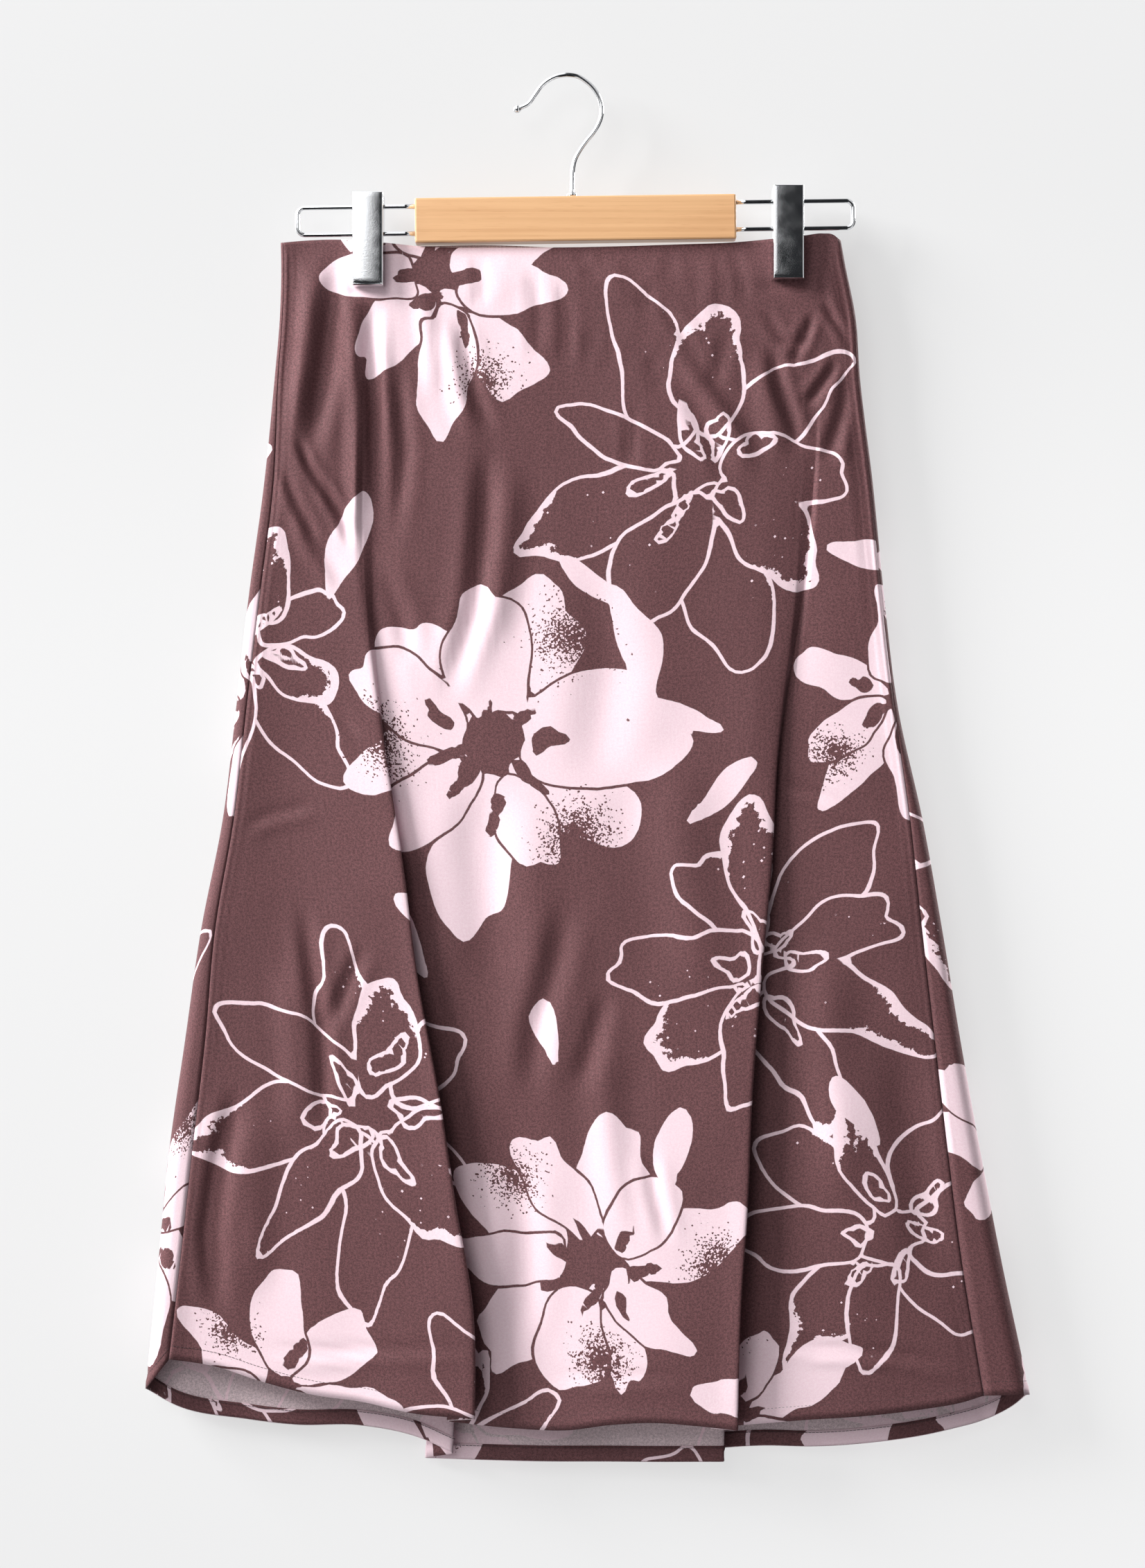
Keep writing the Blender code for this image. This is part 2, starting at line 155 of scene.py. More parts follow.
SIDES: Table = (  # z, left, left strip, right strip, right
    (-100, -187, 1.5, 1.5, 170),
    (-118, -186.5, 1.5, 1.5, 173.2),
    (-154, -187.4, 1.5, 1.5, 180.3),
    (-190, -190.5, 2, 1.5, 182.9),
    (-261, -197.6, 5.8, 1.5, 191.4),
    (-332, -207.3, 6.8, 1.5, 198.5),
    (-403, -215.3, 6.4, 2, 207.3),
    (-474, -223.8, 6.8, 7.7, 222.9),
    (-545, -237.7, 8.7, 12.7, 235.6),
    (-616, -248, 12.6, 16.2, 247.3),
    (-687, -258.2, 14.6, 20.6, 260),
    (-758, -265.1, 13.7, 25.3, 273.7),
    (-829, -272.2, 12.6, 28.6, 288.8),
    (-890, -279, 12, 30, 301),
)
SIDE_COLUMNS = ("z", "left", "left_strip", "right_strip", "right")
FOLDS: Table = (  # z, left edge, right edge
    (-100, -134.2, 145),
    (-216, -134.1, 146.5),
    (-329, -133.6, 141.7),
    (-436, -119.4, 130.6),
    (-506, -107.9, 127.4),
    (-567, -99.9, 122.1),
    (-659, -83, 115.5),
    (-719, -73.7, 113.3),
    (-790, -62, 108.8),
    (-835, -60.6, 107.4),
    (-890, -62.6, 106.6),
)
TOP_EDGE: Table = (  # x, z
    (-187, -105.9), (-175, -104.8), (-157.6, -103.9), (-118.5, -106), (-101, -107.9),
    (-41.7, -108.9), (-12.9, -108.9), (67.9, -106.9), (104.2, -105.5), (126.9, -103.4),
    (147.7, -101.2), (160, -99.9), (168, -101.4), (171.5, -105),
)
WAIST_LINE = -106.0  # height at which the gathered waist starts to fill out
BACK_RISE: Table = (  # x, how far the back's edge stands above the front's
    (-100, 0), (-85, 1), (-35, 1), (-15, 0),
)
SWAYS: Table = (  # height, length across, length down, phase
    (0.55, 31, 120, 0.7),
    (0.45, 19, -83, 2.1),
    (0.35, 47, 39, 4),
    (0.16, 9.1, 61, 1.3),
    (0.12, 13, -17, 5.2),
)
HEMS: dict[Panel, dict[str, Table]] = {  # x, z along each section's hem
    Panel.FRONT: {
        "left": (
            (-262, -820), (-230.9, -825), (-202.5, -833.8), (-167.4, -842.7), (-135.9, -847.2),
            (-103.9, -854.3), (-62.6, -858.3),
        ),
        "middle": (
            (-83, -859.3), (-40.4, -864), (-3.6, -865.4), (23.1, -861.8), (51.5, -860.5),
            (79.9, -862.7), (106.6, -865.8),
        ),
        "right": (
            (85, -864), (150.5, -858.7), (179.8, -856.9), (224.2, -852), (253.5, -846.6),
            (264, -843.4),
        ),
    },
    Panel.BACK: {
        "left": (
            (-275.3, -838.7), (-258, -848), (-208.7, -858.3), (-176.7, -861.8), (-135.9, -862.2),
            (-96.8, -870.5), (-75.5, -880),
        ),
        "middle": (
            (-96.6, -883), (-26.2, -884.9), (58.6, -885.8), (98.1, -885.6),
        ),
        "right": (
            (77, -878), (121, -875.1), (150.5, -875.6), (194.5, -872.5), (238.9, -865.1),
            (268.2, -856.9), (282.8, -849.8), (293, -842.6),
        ),
    },
}


SHOULDERS: dict[Profile, Pair] = {  # height and place of a crease's shoulders
    Profile.TROUGH: (0.45, 1.7),
    Profile.RIDGE: (0.25, 1.9),
}
CREASE_ENDS = 0.3  # share of a crease's length over which each end fades out


@dataclass(frozen=True)
class Crease:
    """One crease of the hung cloth, drawn as a path of places as seen, in millimetres."""

    path: Table  # the points (x, z) that it runs through
    width: float  # the half width of its hollow or ridge
    depth: float  # how far it sinks or stands
    profile: Profile = Profile.TROUGH  # its cross-section

    def lift(self, x: Array, z: Array) -> Array:
        """How far the crease lifts the cloth towards the viewer at each place.

        With r the distance from the path over the half width, a trough is
        h exp(-(r - p)^2) - exp(-r^2), with h and p the height and place of its shoulders, a ridge
        is its opposite, and a step is r exp(0.5 - r^2 / 2) with the sign of the side it is on.
        All fade out over the path's two ends.

        Args:
            x: Places across.
            z: Heights.

        Returns:
            The lift at each place, in millimetres.
        """
        best = np.full(x.shape, 1e9)
        side = np.zeros(x.shape)
        along = np.zeros(x.shape)
        points = np.array(self.path, dtype=float)
        lengths = np.hypot(*np.diff(points, axis=0).T)
        total = lengths.sum()
        run = 0.0
        for start, end, length in zip(points[:-1], points[1:], lengths):
            step = (end - start) / length
            part = np.clip((x - start[0]) * step[0] + (z - start[1]) * step[1], 0.0, length)
            off_x = x - start[0] - part * step[0]
            off_z = z - start[1] - part * step[1]
            distance = np.hypot(off_x, off_z)
            nearer = distance < best
            best = np.where(nearer, distance, best)
            side = np.where(nearer, np.sign(off_x * step[1] - off_z * step[0]), side)
            along = np.where(nearer, (run + part) / total, along)
            run += length
        fade = ease(along / CREASE_ENDS) * ease((1 - along) / CREASE_ENDS)
        reach = best / self.width
        if self.profile is Profile.STEP:
            return self.depth * (side * reach * np.exp(0.5 - reach**2 / 2)) * fade
        height, place = SHOULDERS[self.profile]
        hollow = height * np.exp(-((reach - place) ** 2)) - np.exp(-(reach**2))
        return self.depth * (hollow if self.profile is Profile.TROUGH else -hollow) * fade


def crease_rows(*rows: tuple) -> tuple[Crease, ...]:
    """Creases from rows of path, half width, depth and, unless it is a trough, profile."""
    return tuple(Crease(*row) for row in rows)


RIDGE, STEP = Profile.RIDGE, Profile.STEP
FRONT_CREASES = crease_rows(
    (((-150, -104), (-152, -130), (-158.5, -185), (-170, -250)), 7, 4),
    (((-166, -118), (-172, -170), (-182, -230)), 8, 2.4, RIDGE),
    (((-128, -138), (-130, -178), (-127, -212), (-126, -300)), 5, 4.2),
    (((-140, -140), (-141, -190), (-139, -250), (-137, -310)), 5, 2.4, RIDGE),
    (((-74, -150), (-72, -160), (-64.2, -202), (-50.6, -229)), 4.2, 3.4),
    (((-82, -156), (-74, -205), (-62, -240)), 5, 1.8, RIDGE),
    (((-53, -226), (-55.7, -253), (-57.4, -287), (-62.5, -338), (-82, -402)), 6.5, 3.8),
    (((-38, -240), (-42, -300), (-54, -370)), 8, 2.2, RIDGE),
    (((-110, -176), (-111.8, -200), (-108, -240), (-114, -300)), 5, 2.2),
    (((-98, -128), (-92, -170), (-88, -210)), 5, 1.6, RIDGE),
    (((62, -172), (76.9, -193.5), (93.9, -214), (105.8, -231), (116, -254)), 5, 2.8, RIDGE),
    (((70, -200), (84, -224), (102, -262)), 6, 2),
    (((126, -168), (128, -180), (132, -200), (140, -220), (147, -240)), 4, 3.4),
    (((114, -176), (121, -200), (134, -250)), 6, 2.2, RIDGE),
    (((120, -146), (126, -156), (134, -169), (152, -172)), 3.2, 1.5),
    (((154, -150), (148, -166), (138, -187)), 3.2, 2),
    (((158, -144), (167, -154.4), (182, -175)), 3.2, 2.4),
    (((170, -180), (165, -188), (155, -202), (147, -212)), 3.4, 2.4),
    (((166, -112), (170, -140), (182, -200)), 5, 1.8, RIDGE),
    (((178, -190), (172, -216), (160, -250)), 5, 2.2),
    (((35.6, -200), (36.1, -232), (38.7, -264)), 1.9, 2.2),
    (((7, -156), (9, -161), (12.3, -175), (14, -192)), 2.6, 1.7),
    (((24, -160), (23.4, -168), (21.7, -192)), 2.6, 1.5),
    (((41, -118), (43, -126), (46.3, -139), (50, -158)), 2.4, 1.7),
    (((45.5, -150), (44.6, -175), (48, -196)), 2.6, 1.6),
    (((51.4, -174), (54.8, -192), (54, -206)), 2.8, 1.9),
    (((1, -107), (4, -112), (8, -120), (14, -134)), 2.4, 1.7),
    (((-8, -128), (-4, -156), (-6, -190)), 4, 1.5),
    (((-27, -116), (-22, -150), (-24, -186)), 4, 1.5),
    (((56, -140), (58.2, -147.6), (70, -163), (79, -184)), 3, 1.8),
    (((63, -106), (61.6, -117), (64, -136)), 2.4, 1.2),
    (((100, -105), (105.8, -122), (110, -148)), 2.6, 1.7),
    (((84, -110), (88, -130), (84, -156)), 3, 1.3, RIDGE),
    (((26, -112), (28, -132), (34, -150)), 3, 1.3, RIDGE),
    (((98, -160), (95, -178), (90, -202)), 4, 1.5),
    (((-43.2, -107), (-43.2, -125), (-42.8, -148)), 1.5, 1.1),
    (((-62, -112), (-58, -132), (-60, -150)), 4, 1.3),
    (((-178, -228), (-168.7, -249.6), (-157.7, -266.6), (-146, -286)), 3, 2.6),
    (((-161, -256), (-149.2, -278.5), (-141, -300)), 3, 2.2),
    (((-188, -246), (-177, -272), (-162, -300)), 3.6, 1.8),
    (((-182, -276), (-168, -306), (-150, -330)), 4.5, 1.6, RIDGE),
    (((-128, -310), (-112, -340), (-104, -376)), 6, 2),
    (((-180, -390), (-150, -408), (-134, -424)), 4, 1.4),
    (((-212, -482), (-190, -474), (-160, -467)), 3, 1.1, STEP),
    (((128, -452), (160, -462), (196, -480)), 3, 1.2, STEP),
    (((-174, -522), (-168, -566), (-160.7, -611), (-158, -685)), 5, 3),
    (((-131.9, -552), (-146, -584), (-159, -614)), 4.6, 2.4),
    (((-184, -560), (-178, -620), (-176, -690)), 8, 2, RIDGE),
    (((-211.8, -640), (-226, -694), (-232, -740), (-226, -800)), 7, 3.6),
    (((-196, -650), (-206, -710), (-206, -790)), 11, 2.4, RIDGE),
    (((-3.1, -520), (-12, -568), (-24, -612), (-28, -660)), 8, 3),
    (((22, -580), (14, -612), (4, -650)), 6, 2.2),
    (((30, -600), (20, -650), (24, -700), (36, -750)), 10, 2.4, RIDGE),
    (((48, -684), (52, -712), (61, -748)), 4.5, 2),
    (((-40, -690), (-32, -744), (-34, -815)), 10, 2.6),
    (((-206, -817), (-160, -818.5), (-110, -817), (-58, -818)), 2.6, 1.9, STEP),
    (((-20, -832), (24, -836), (78, -834)), 2.6, 1.1, STEP),
    (((116, -811), (167.8, -817.5), (203.6, -819.5), (252, -828)), 2.6, 2, STEP),
    (((160, -540), (166, -640), (178, -740)), 16, 3.4, RIDGE),
    (((206, -590), (218, -680), (232, -780)), 14, 2.6),
    (((60, -420), (70, -500), (84, -600)), 18, 3, RIDGE),
    (((-60, -440), (-54, -520), (-50, -600)), 16, 2.8),
    (((12, -300), (22, -380), (10, -470)), 16, 1.8),
)

BACK_CREASES = crease_rows(
    (((-150, -104), (-152, -160), (-166, -240)), 7, 5.3),
    (((-130, -140), (-122, -190), (-126, -270)), 5, 4.7),
    (((-112, -138), (-104, -176), (-108, -220)), 4, 2.8, RIDGE),
    (((-84, -112), (-78, -160), (-86, -214)), 3.6, 3.4),
    (((-62, -116), (-58, -140), (-64, -176)), 2.8, 2.3),
    (((-40, -110), (-36, -150), (-42, -204)), 3.2, 3.1),
    (((-22, -122), (-18, -150), (-22, -178)), 2.8, 2.2),
    (((-4, -108), (0, -150), (-4, -200)), 3.2, 3.1),
    (((18, -112), (22, -136), (18, -164)), 2.6, 2.2),
    (((40, -110), (46, -158), (40, -214)), 3.4, 3.4),
    (((62, -118), (64, -142), (72, -180)), 2.8, 2.5),
    (((86, -108), (90, -150), (82, -196)), 3.4, 3.1),
    (((106, -114), (110, -140), (104, -170)), 2.8, 2.3),
    (((126, -140), (118, -190), (98, -256)), 5, 5),
    (((150, -136), (156, -180), (150, -236)), 5, 3.7, RIDGE),
    (((158, -108), (164, -160), (176, -224)), 5, 4.3),
    (((-170, -250), (-154, -286), (-140, -330)), 5, 3.4),
    (((-120, -320), (-108, -380), (-112, -460)), 9, 4.3, RIDGE),
    (((20, -290), (30, -380), (24, -470)), 9, 4.7),
    (((-190, -472), (-120, -466), (-60, -470)), 3, 1.7, STEP),
    (((60, -460), (130, -470), (190, -474)), 3, 1.7, STEP),
    (((-190, -550), (-180, -640), (-196, -740)), 9, 5.3),
    (((-20, -550), (-10, -640), (4, -730)), 10, 5.3),
    (((60, -600), (52, -680), (64, -770)), 10, 4, RIDGE),
    (((170, -540), (180, -630), (200, -740)), 12, 5, RIDGE),
    (((230, -620), (236, -700), (252, -780)), 9, 4),
    (((-210, -822), (-150, -826), (-90, -828)), 2.6, 2.5, STEP),
    (((120, -832), (180, -830), (246, -822)), 2.6, 2.5, STEP),
)


@dataclass(frozen=True)
class ClipPlace:
    """Where a clip holds the waist."""

    middle: float  # x of its middle
    top: float  # top of its front
    grip: float  # how low the cloth is held flat under it


CLIPS: dict[str, ClipPlace] = {
    "left": ClipPlace(-130.6, -75.3, -136.5),
    "right": ClipPlace(137.0, -70.9, -132.0),
}


@dataclass(frozen=True)
class Sewing:
    """The low relief that sewing gives the hung cloth."""

    stitch_height: float = 9.0  # height of the hem's stitches above its edge
    groove: Pair = (0.38, 0.9)  # depth and half width of the groove that they pull in
    # how full the turned-up edge is, and how soft its upper and its lower end are
    turned: Triple = (0.30, 1.6, 3.0)
    ridge: Triple = (0.34, 1.9, 1.0)  # height, place and half width of the ridge beside a side seam
    # height and width of the allowance inside the seam, and its two soft ends
    allowance: tuple[float, float, float, float] = (0.22, 8.0, 1.6, 2.0)
    start: float = 10.0  # over what height the seams' relief starts, below the waist

    def hem_lift(self, above: Array) -> Array:
        """The groove along the stitches and the fuller edge below it.

        Args:
            above: Heights above the hem's edge.

        Returns:
            The lift, in millimetres.
        """
        depth, width = self.groove
        full, upper, lower = self.turned
        groove = -depth * np.exp(-(((above - self.stitch_height) / width) ** 2))
        edge = full * ease((self.stitch_height - above) / upper) * ease((above + 1.0) / lower)
        return groove + edge

    def seam_lift(self, seams: tuple[Array, Array], z: Array) -> Array:
        """The ridge and the allowance beside both side seams.

        Args:
            seams: Distances inside the left and the right seam.
            z: Heights.

        Returns:
            The lift, in millimetres.
        """
        high, place, width = self.ridge
        full, reach, inner, outer = self.allowance
        lift = 0.0
        for inside in seams:
            near = np.maximum(inside, 0.0)
            lift = lift + high * np.exp(-(((near - place) / width) ** 2))
            lift = lift + full * ease((reach - near) / inner) * ease(near / outer)
        return lift * below(z, WAIST_LINE, self.start)


@dataclass
class Grid:
    """A panel's points, a row for each step down and a column for each across."""

    points: Array  # real places, in millimetres
    facing: Array  # unit normals towards the viewer: out of the tube on the front, into it on the back
    flat: Array  # places on the flat cloth: across from the middle column, down from the waist


@dataclass
class SkirtForm:
    """The hung form of the skirt: a tube pinched at the waist, with two laps in each panel."""

    rows: int  # steps down a panel
    counts: dict[str, int]  # steps across each section
    pinch: float = 0.95  # half depth of the pinched waist
    belly: float = 6.0  # half depth at the hem
    pinch_height: float = -137.0  # where the tube starts to open
    hem_height: float = -860.0  # where it is fully open
    lap_start: float = -160.0  # where the laps start
    lap_open: float = 10.0  # how far the next section starts from the fold, above the laps
    lap_cover: float = 21.0  # how far a fold covers the next section at the hem
    drops: Pair = (16.0, 12.0)  # how deep the next section starts behind the fold, for each panel
    back_shift: Pair = (-13.0, -8.6)  # how far the back's folds stand from the front's, at the hem
    sink: float = 9.0  # how far the front sinks into the tube behind each fold
    front_rise: Pair = (1.7, 1.25)  # powers by which the front rises to its left and its right fold
    sink_fade: float = 2.4  # power by which it comes back from its sink
    back_fade: float = 0.9  # power by which the back comes back behind its folds
    swell: float = 5.0  # how full the plain sections hang
    side_bulge: Pair = (1.4, 3.5)  # added half depth near the silhouettes, at the waist and the hem
    side_reach: Pair = (9.0, 60.0)  # how far that reaches in
    side_round: Pair = (2.4, 8.0)  # width of the rounded side
    smallest_strip: float = 1.5  # least strip of the back that wraps to the front
    seam_gap: float = 0.3  # gap between the panels at a side seam
    # heights of the hem's edge where the back wraps to the front on the left
    left_wrap_hem: Pair = (-820.4, -838.7)
    right_wrap_hem: Pair = (-842.6, -843.2)  # the same on the right
    # how far the cloth stands full below the waist, and over what height it starts
    fullness: Pair = (2.3, 26.0)
    full_end: Pair = (-480.0, 260.0)  # height at which that has faded out, and over what height
    sway_start: Pair = (-110.0, 160.0)  # where the long waves start, and over what height
    room_kept: float = 0.55  # room to the other panel that creases leave free
    room_range: Pair = (0.15, 2.5)  # least and most that a crease may sink
    room_soft: float = 0.3  # how softly it is held there
    # share of the relief at the waist's edge, where that ends and over what height
    edge_hold: Triple = (0.12, -103.0, 14.0)
    clip_hold: Pair = (10.0, 9.0)  # half width that a clip holds flat, and how far round it that fades
    fold_fade: Pair = (14.0, 12.0)  # how sharply creases fade towards a fold, across and down
    side_margin: Pair = (4.0, 12.0)  # how far in from a silhouette creases start, and over what reach
    turn_columns: float = 1.6  # how many columns round a fold are rounded
    turn_passes: int = 4  # how many times
    turn_pull: float = 0.6  # how far each time
    sewing: Sewing = Sewing()  # the relief of the sewing

    @property
    def length(self) -> float:
        """Height from the waist's left end to the hem."""
        return TOP_EDGE[0][1] - self.hem_height

    def opening_share(self, z: Array) -> Array:
        """0 at the pinched waist, 1 at the hem."""
        return below(z, self.pinch_height, self.pinch_height - self.hem_height)

    def lap_share(self, z: Array) -> Array:
        """0 where the laps start, 1 at the hem."""
        return below(z, self.lap_start, self.lap_start - self.hem_height)

    def side(self, name: str, z: Array) -> Array:
        """A column of the table of sides at each height."""
        return smooth(SIDES, SIDE_COLUMNS.index(name), z)

    def seam(self, name: str, z: Array) -> Array:
        """x of a side seam: the silhouette moved in by the strip of the back that shows."""
        strip = np.maximum(self.side(name + "_strip", z), self.smallest_strip)
        return self.side(name, z) + (strip if name == "left" else -strip)

    def fold_edge(self, name: str, z: Array, panel: Panel) -> Array:
        """x of a lap's folded edge.

        Args:
            name: Which lap: left or right.
            z: Heights.
            panel: Which panel.

        Returns:
            Its x at each height.
        """
        place = ("left", "right").index(name)
        edge = smooth(FOLDS, place + 1, z)
        if panel is Panel.BACK:
            edge = edge + self.back_shift[place] * self.lap_share(z)
        return edge

    def lap_root(self, name: str, z: Array, panel: Panel) -> Array:
        """x where the next section starts, behind the folded edge."""
        reach = self.lap_open - (self.lap_open + self.lap_cover) * self.lap_share(z)
        return self.fold_edge(name, z, panel) + reach

    def half_depth(self, x: Array, z: Array) -> Array:
        """The tube's half depth at x, which rounds off to nothing at each silhouette.

        It grows softly from the pinch to the belly, plus a bell exp(-(d / reach)^2) at each
        silhouette, times the quarter circle sqrt(1 - (1 - d / round)^2) within its rounded side.

        Args:
            x, z: Places across, and heights.

        Returns:
            The half depths, in millimetres.
        """
        share = self.opening_share(z)
        depth = self.pinch + (self.belly - self.pinch) * share
        distances = (x - self.side("left", z), self.side("right", z) - x)
        for distance in distances:
            bulge = np.exp(-((distance / between(self.side_reach, share)) ** 2))
            depth = depth + between(self.side_bulge, share) * bulge
        for distance in distances:
            near = 1 - np.clip(distance / between(self.side_round, share), 0.0, 1.0)
            depth = depth * np.sqrt(1 - near**2)
        return depth

    def stand(self, panel: Panel, section: str, along: Array, z: Array) -> Array:
        """How far a panel stands off the plain tube.

        A section that ends in a fold rises to it by a power of its share along, a lap goes
        straight back down, and the next section comes back from there. Plain sections swell by
        sin(pi along).

        Args:
            panel, section: Which panel, and which section of it.
            along: Shares of the way along the section.
            z: Heights.

        Returns:
            How far it stands off, in millimetres.
        """
        share = self.lap_share(z)
        if panel is Panel.FRONT:
            drop, sink = self.drops[0] * share, self.sink * share
            if section == "left":
                return drop * along ** self.front_rise[0]
            if section.endswith("lap"):
                return drop - (drop + sink) * along
            behind = sink * (1 - along) ** self.sink_fade
            if section == "middle":
                return drop * along ** self.front_rise[1] - behind
            return self.swell * share * np.sin(math.pi * along) - behind
        drop = self.drops[1] * share
        if section == "left":
            return self.swell * share * np.sin(math.pi * along)
        if section.endswith("lap"):
            return drop * along
        return drop * (1 - along**self.back_fade)

    def ends(self, section: str, z: Array, panel: Panel) -> tuple[Array, Array]:
        """x of a section's two ends at each height.

        Args:
            section, panel: Which section, and of which panel.
            z: Heights.

        Returns:
            x of its left and its right end.
        """
        half = self.seam_gap / 2
        front = panel is Panel.FRONT
        if section == "left_wrap":
            return self.seam("left", z) - half, self.side("left", z)
        if section == "right_wrap":
            return self.side("right", z), self.seam("right", z) + half
        if section == "left":
            start = self.seam("left", z) + half if front else self.side("left", z)
            return start, self.fold_edge("left", z, panel)
        if section == "left_lap":
            return self.fold_edge("left", z, panel), self.lap_root("left", z, panel)
        if section == "middle":
            return self.lap_root("left", z, panel), self.fold_edge("right", z, panel)
        if section == "right_lap":
            return self.fold_edge("right", z, panel), self.lap_root("right", z, panel)
        end = self.seam("right", z) - half if front else self.side("right", z)
        return self.lap_root("right", z, panel), end

    def spread(self, section: str, count: int) -> Array:
        """Shares across a section, closer together at the silhouettes and the folds.

        A wrap's follow a quarter of a cosine. The others mix even steps with soft ones, and the
        two outer sections' are drawn further towards the silhouette by a square.

        Args:
            section: Which section.
            count: How many steps.

        Returns:
            The shares, from 0 to 1.
        """
        even = np.linspace(0.0, 1.0, count + 1)
        if section == "left_wrap":
            return np.cos(math.pi / 2 * (1 - even))
        if section == "right_wrap":
            return 1 - np.cos(math.pi / 2 * even)
        soft = 0.6 * even + 0.4 * ease(even)
        if section == "left":
            return 0.55 * soft + 0.45 * soft**2
        if section == "right":
            return 0.55 * soft + 0.45 * (1 - (1 - soft) ** 2)
        return soft

    def edge_height(self, section: str, share: Array, x: Array, panel: Panel, lower: bool) -> Array:
        """z of the waist's or the hem's edge for each column of a section.

        Args:
            section: Which section.
            share: Shares of the way across it.
            x: Places across.
            panel: Which panel.
            lower: Whether the hem's edge is wanted.

        Returns:
            The edge's heights.
        """
        if not lower:
            rise = smooth(BACK_RISE, 1, x) if panel is Panel.BACK else 0.0
            return smooth(TOP_EDGE, 1, x) + rise
        if section == "left_wrap":
            return between(self.left_wrap_hem, share)
        if section == "right_wrap":
            return between(self.right_wrap_hem, share)
        hem = HEMS[panel]
        if section == "left_lap":
            return between((hem["left"][-1][1], hem["middle"][0][1]), share)
        if section == "right_lap":
            return between((hem["middle"][-1][1], hem["right"][0][1]), share)
        return smooth(hem[section], 1, x)

    def section(
        self, name: str, panel: Panel, shares: Array, downs: Array
    ) -> tuple[Array, Array, Array]:
        """One section's places as seen, x and z, and its real depth y.

        Args:
            name, panel: Which section, and of which panel.
            shares, downs: Shares across it, and down it.

        Returns:
            x and z as seen, with the real depth between them.
        """
        share = shares[None, :]
        down = downs[:, None]
        top_start, top_end = self.ends(name, np.full(share.shape, TOP_EDGE[0][1]), panel)
        low_start, low_end = self.ends(name, np.full(share.shape, self.hem_height), panel)
        top = self.edge_height(name, share, top_start + (top_end - top_start) * share, panel, False)
        low = self.edge_height(name, share, low_start + (low_end - low_start) * share, panel, True)
        z = top + (low - top) * down
        start, end = self.ends(name, z, panel)
        x = start + (end - start) * share
        if panel is Panel.FRONT:
            y = -self.half_depth(x, z) - self.stand(panel, name, share, z)
        elif name.endswith("wrap"):
            y = -self.half_depth(x, z) - self.wrap_stand(name, x, z)
        else:
            y = self.half_depth(x, z) + self.stand(panel, name, share, z)
        return x, y, z

    def wrap_stand(self, section: str, x: Array, z: Array) -> Array:
        """The front's own stand carried on over a wrap, fading out at the silhouette.

        Args:
            section: Which wrap.
            x, z: Places across, and heights.

        Returns:
            How far it stands off the tube.
        """
        name = section.split("_")[0]
        edge = self.seam(name, z)
        start, end = self.ends(name, z, Panel.FRONT)
        along = np.clip((edge - start) / (end - start), 0.0, 1.0)
        reach = np.clip((x - self.side(name, z)) / (edge - self.side(name, z)), 0.0, 1.0)
        return self.stand(Panel.FRONT, name, along, z) * reach

    def sway(self, x: Array, z: Array) -> Array:
        """Soft uneven hang of limp cloth: a sum of long sine waves that grows below the waist.

        Args:
            x, z: Places across, and heights.

        Returns:
            The waves' height, in millimetres.
        """
        waves = sum(
            height * np.sin(x / across + z / down + phase)
            for height, across, down, phase in SWAYS
        )
        return waves * below(z, *self.sway_start)

    def grid(self, panel: Panel, downs: Array) -> Grid:
        """A whole panel, left seam to right seam, creased and with its folds rounded.

        Args:
            panel: Which panel.
            downs: Shares of the way from the waist's edge to the hem's, a row each.

        Returns:
            The panel's grid.
        """
        names = ["left", "left_lap", "middle", "right_lap", "right"]
        if panel is Panel.BACK:
            names = ["left_wrap"] + names + ["right_wrap"]
        parts: list[tuple[Array, Array, Array]] = []
        plain: list[Array] = []
        edges: list[Array] = []
        columns: dict[str, tuple[int, int]] = {}
        total = 0
        for name in names:
            kind = "wrap" if "wrap" in name else "lap" if "lap" in name else name
            shares = self.spread(name, self.counts[kind])
            shares = shares[1:] if parts else shares
            parts.append(self.section(name, panel, shares, downs))
            edges.append(self.section(name, panel, shares, np.ones(1))[2][0])
            near_end = np.clip(np.minimum(shares, 1 - shares) * self.fold_fade[0], 0.0, 1.0)
            plain.append(near_end * (0.0 if "lap" in name else 1.0))
            columns[name] = (max(total - 1, 0), total + len(shares) - 1)
            total += len(shares)
        x, y, z = (np.concatenate(same, axis=1) for same in zip(*parts))
        folded = ease(self.lap_share(z) * self.fold_fade[1])
        weight = 1 - (1 - np.concatenate(plain)[None, :]) * folded
        margin, reach = self.side_margin
        inner_left, inner_right = self.side("left", z) + margin, self.side("right", z) - margin
        weight = weight * ease((x - inner_left) / reach) * ease((inner_right - x) / reach)
        for name in ("left_wrap", "right_wrap"):
            if name in columns:
                first, last = columns[name]
                weight[:, first : last + 1] = 0.0
        points = self.rounded(as_hung(x, y, z), columns)
        facing = self.facing(points)
        seams = (x - self.seam("left", z), self.seam("right", z) - x)
        sewn = self.sewing.hem_lift(z - np.concatenate(edges)[None, :])
        sewn = sewn + self.sewing.seam_lift(seams, z)
        lift = self.relief(panel, x, y, z) * weight + sewn
        points = points + facing * (panel.outwards * lift)[..., None]
        return Grid(points, self.facing(points), self.flatten(points))

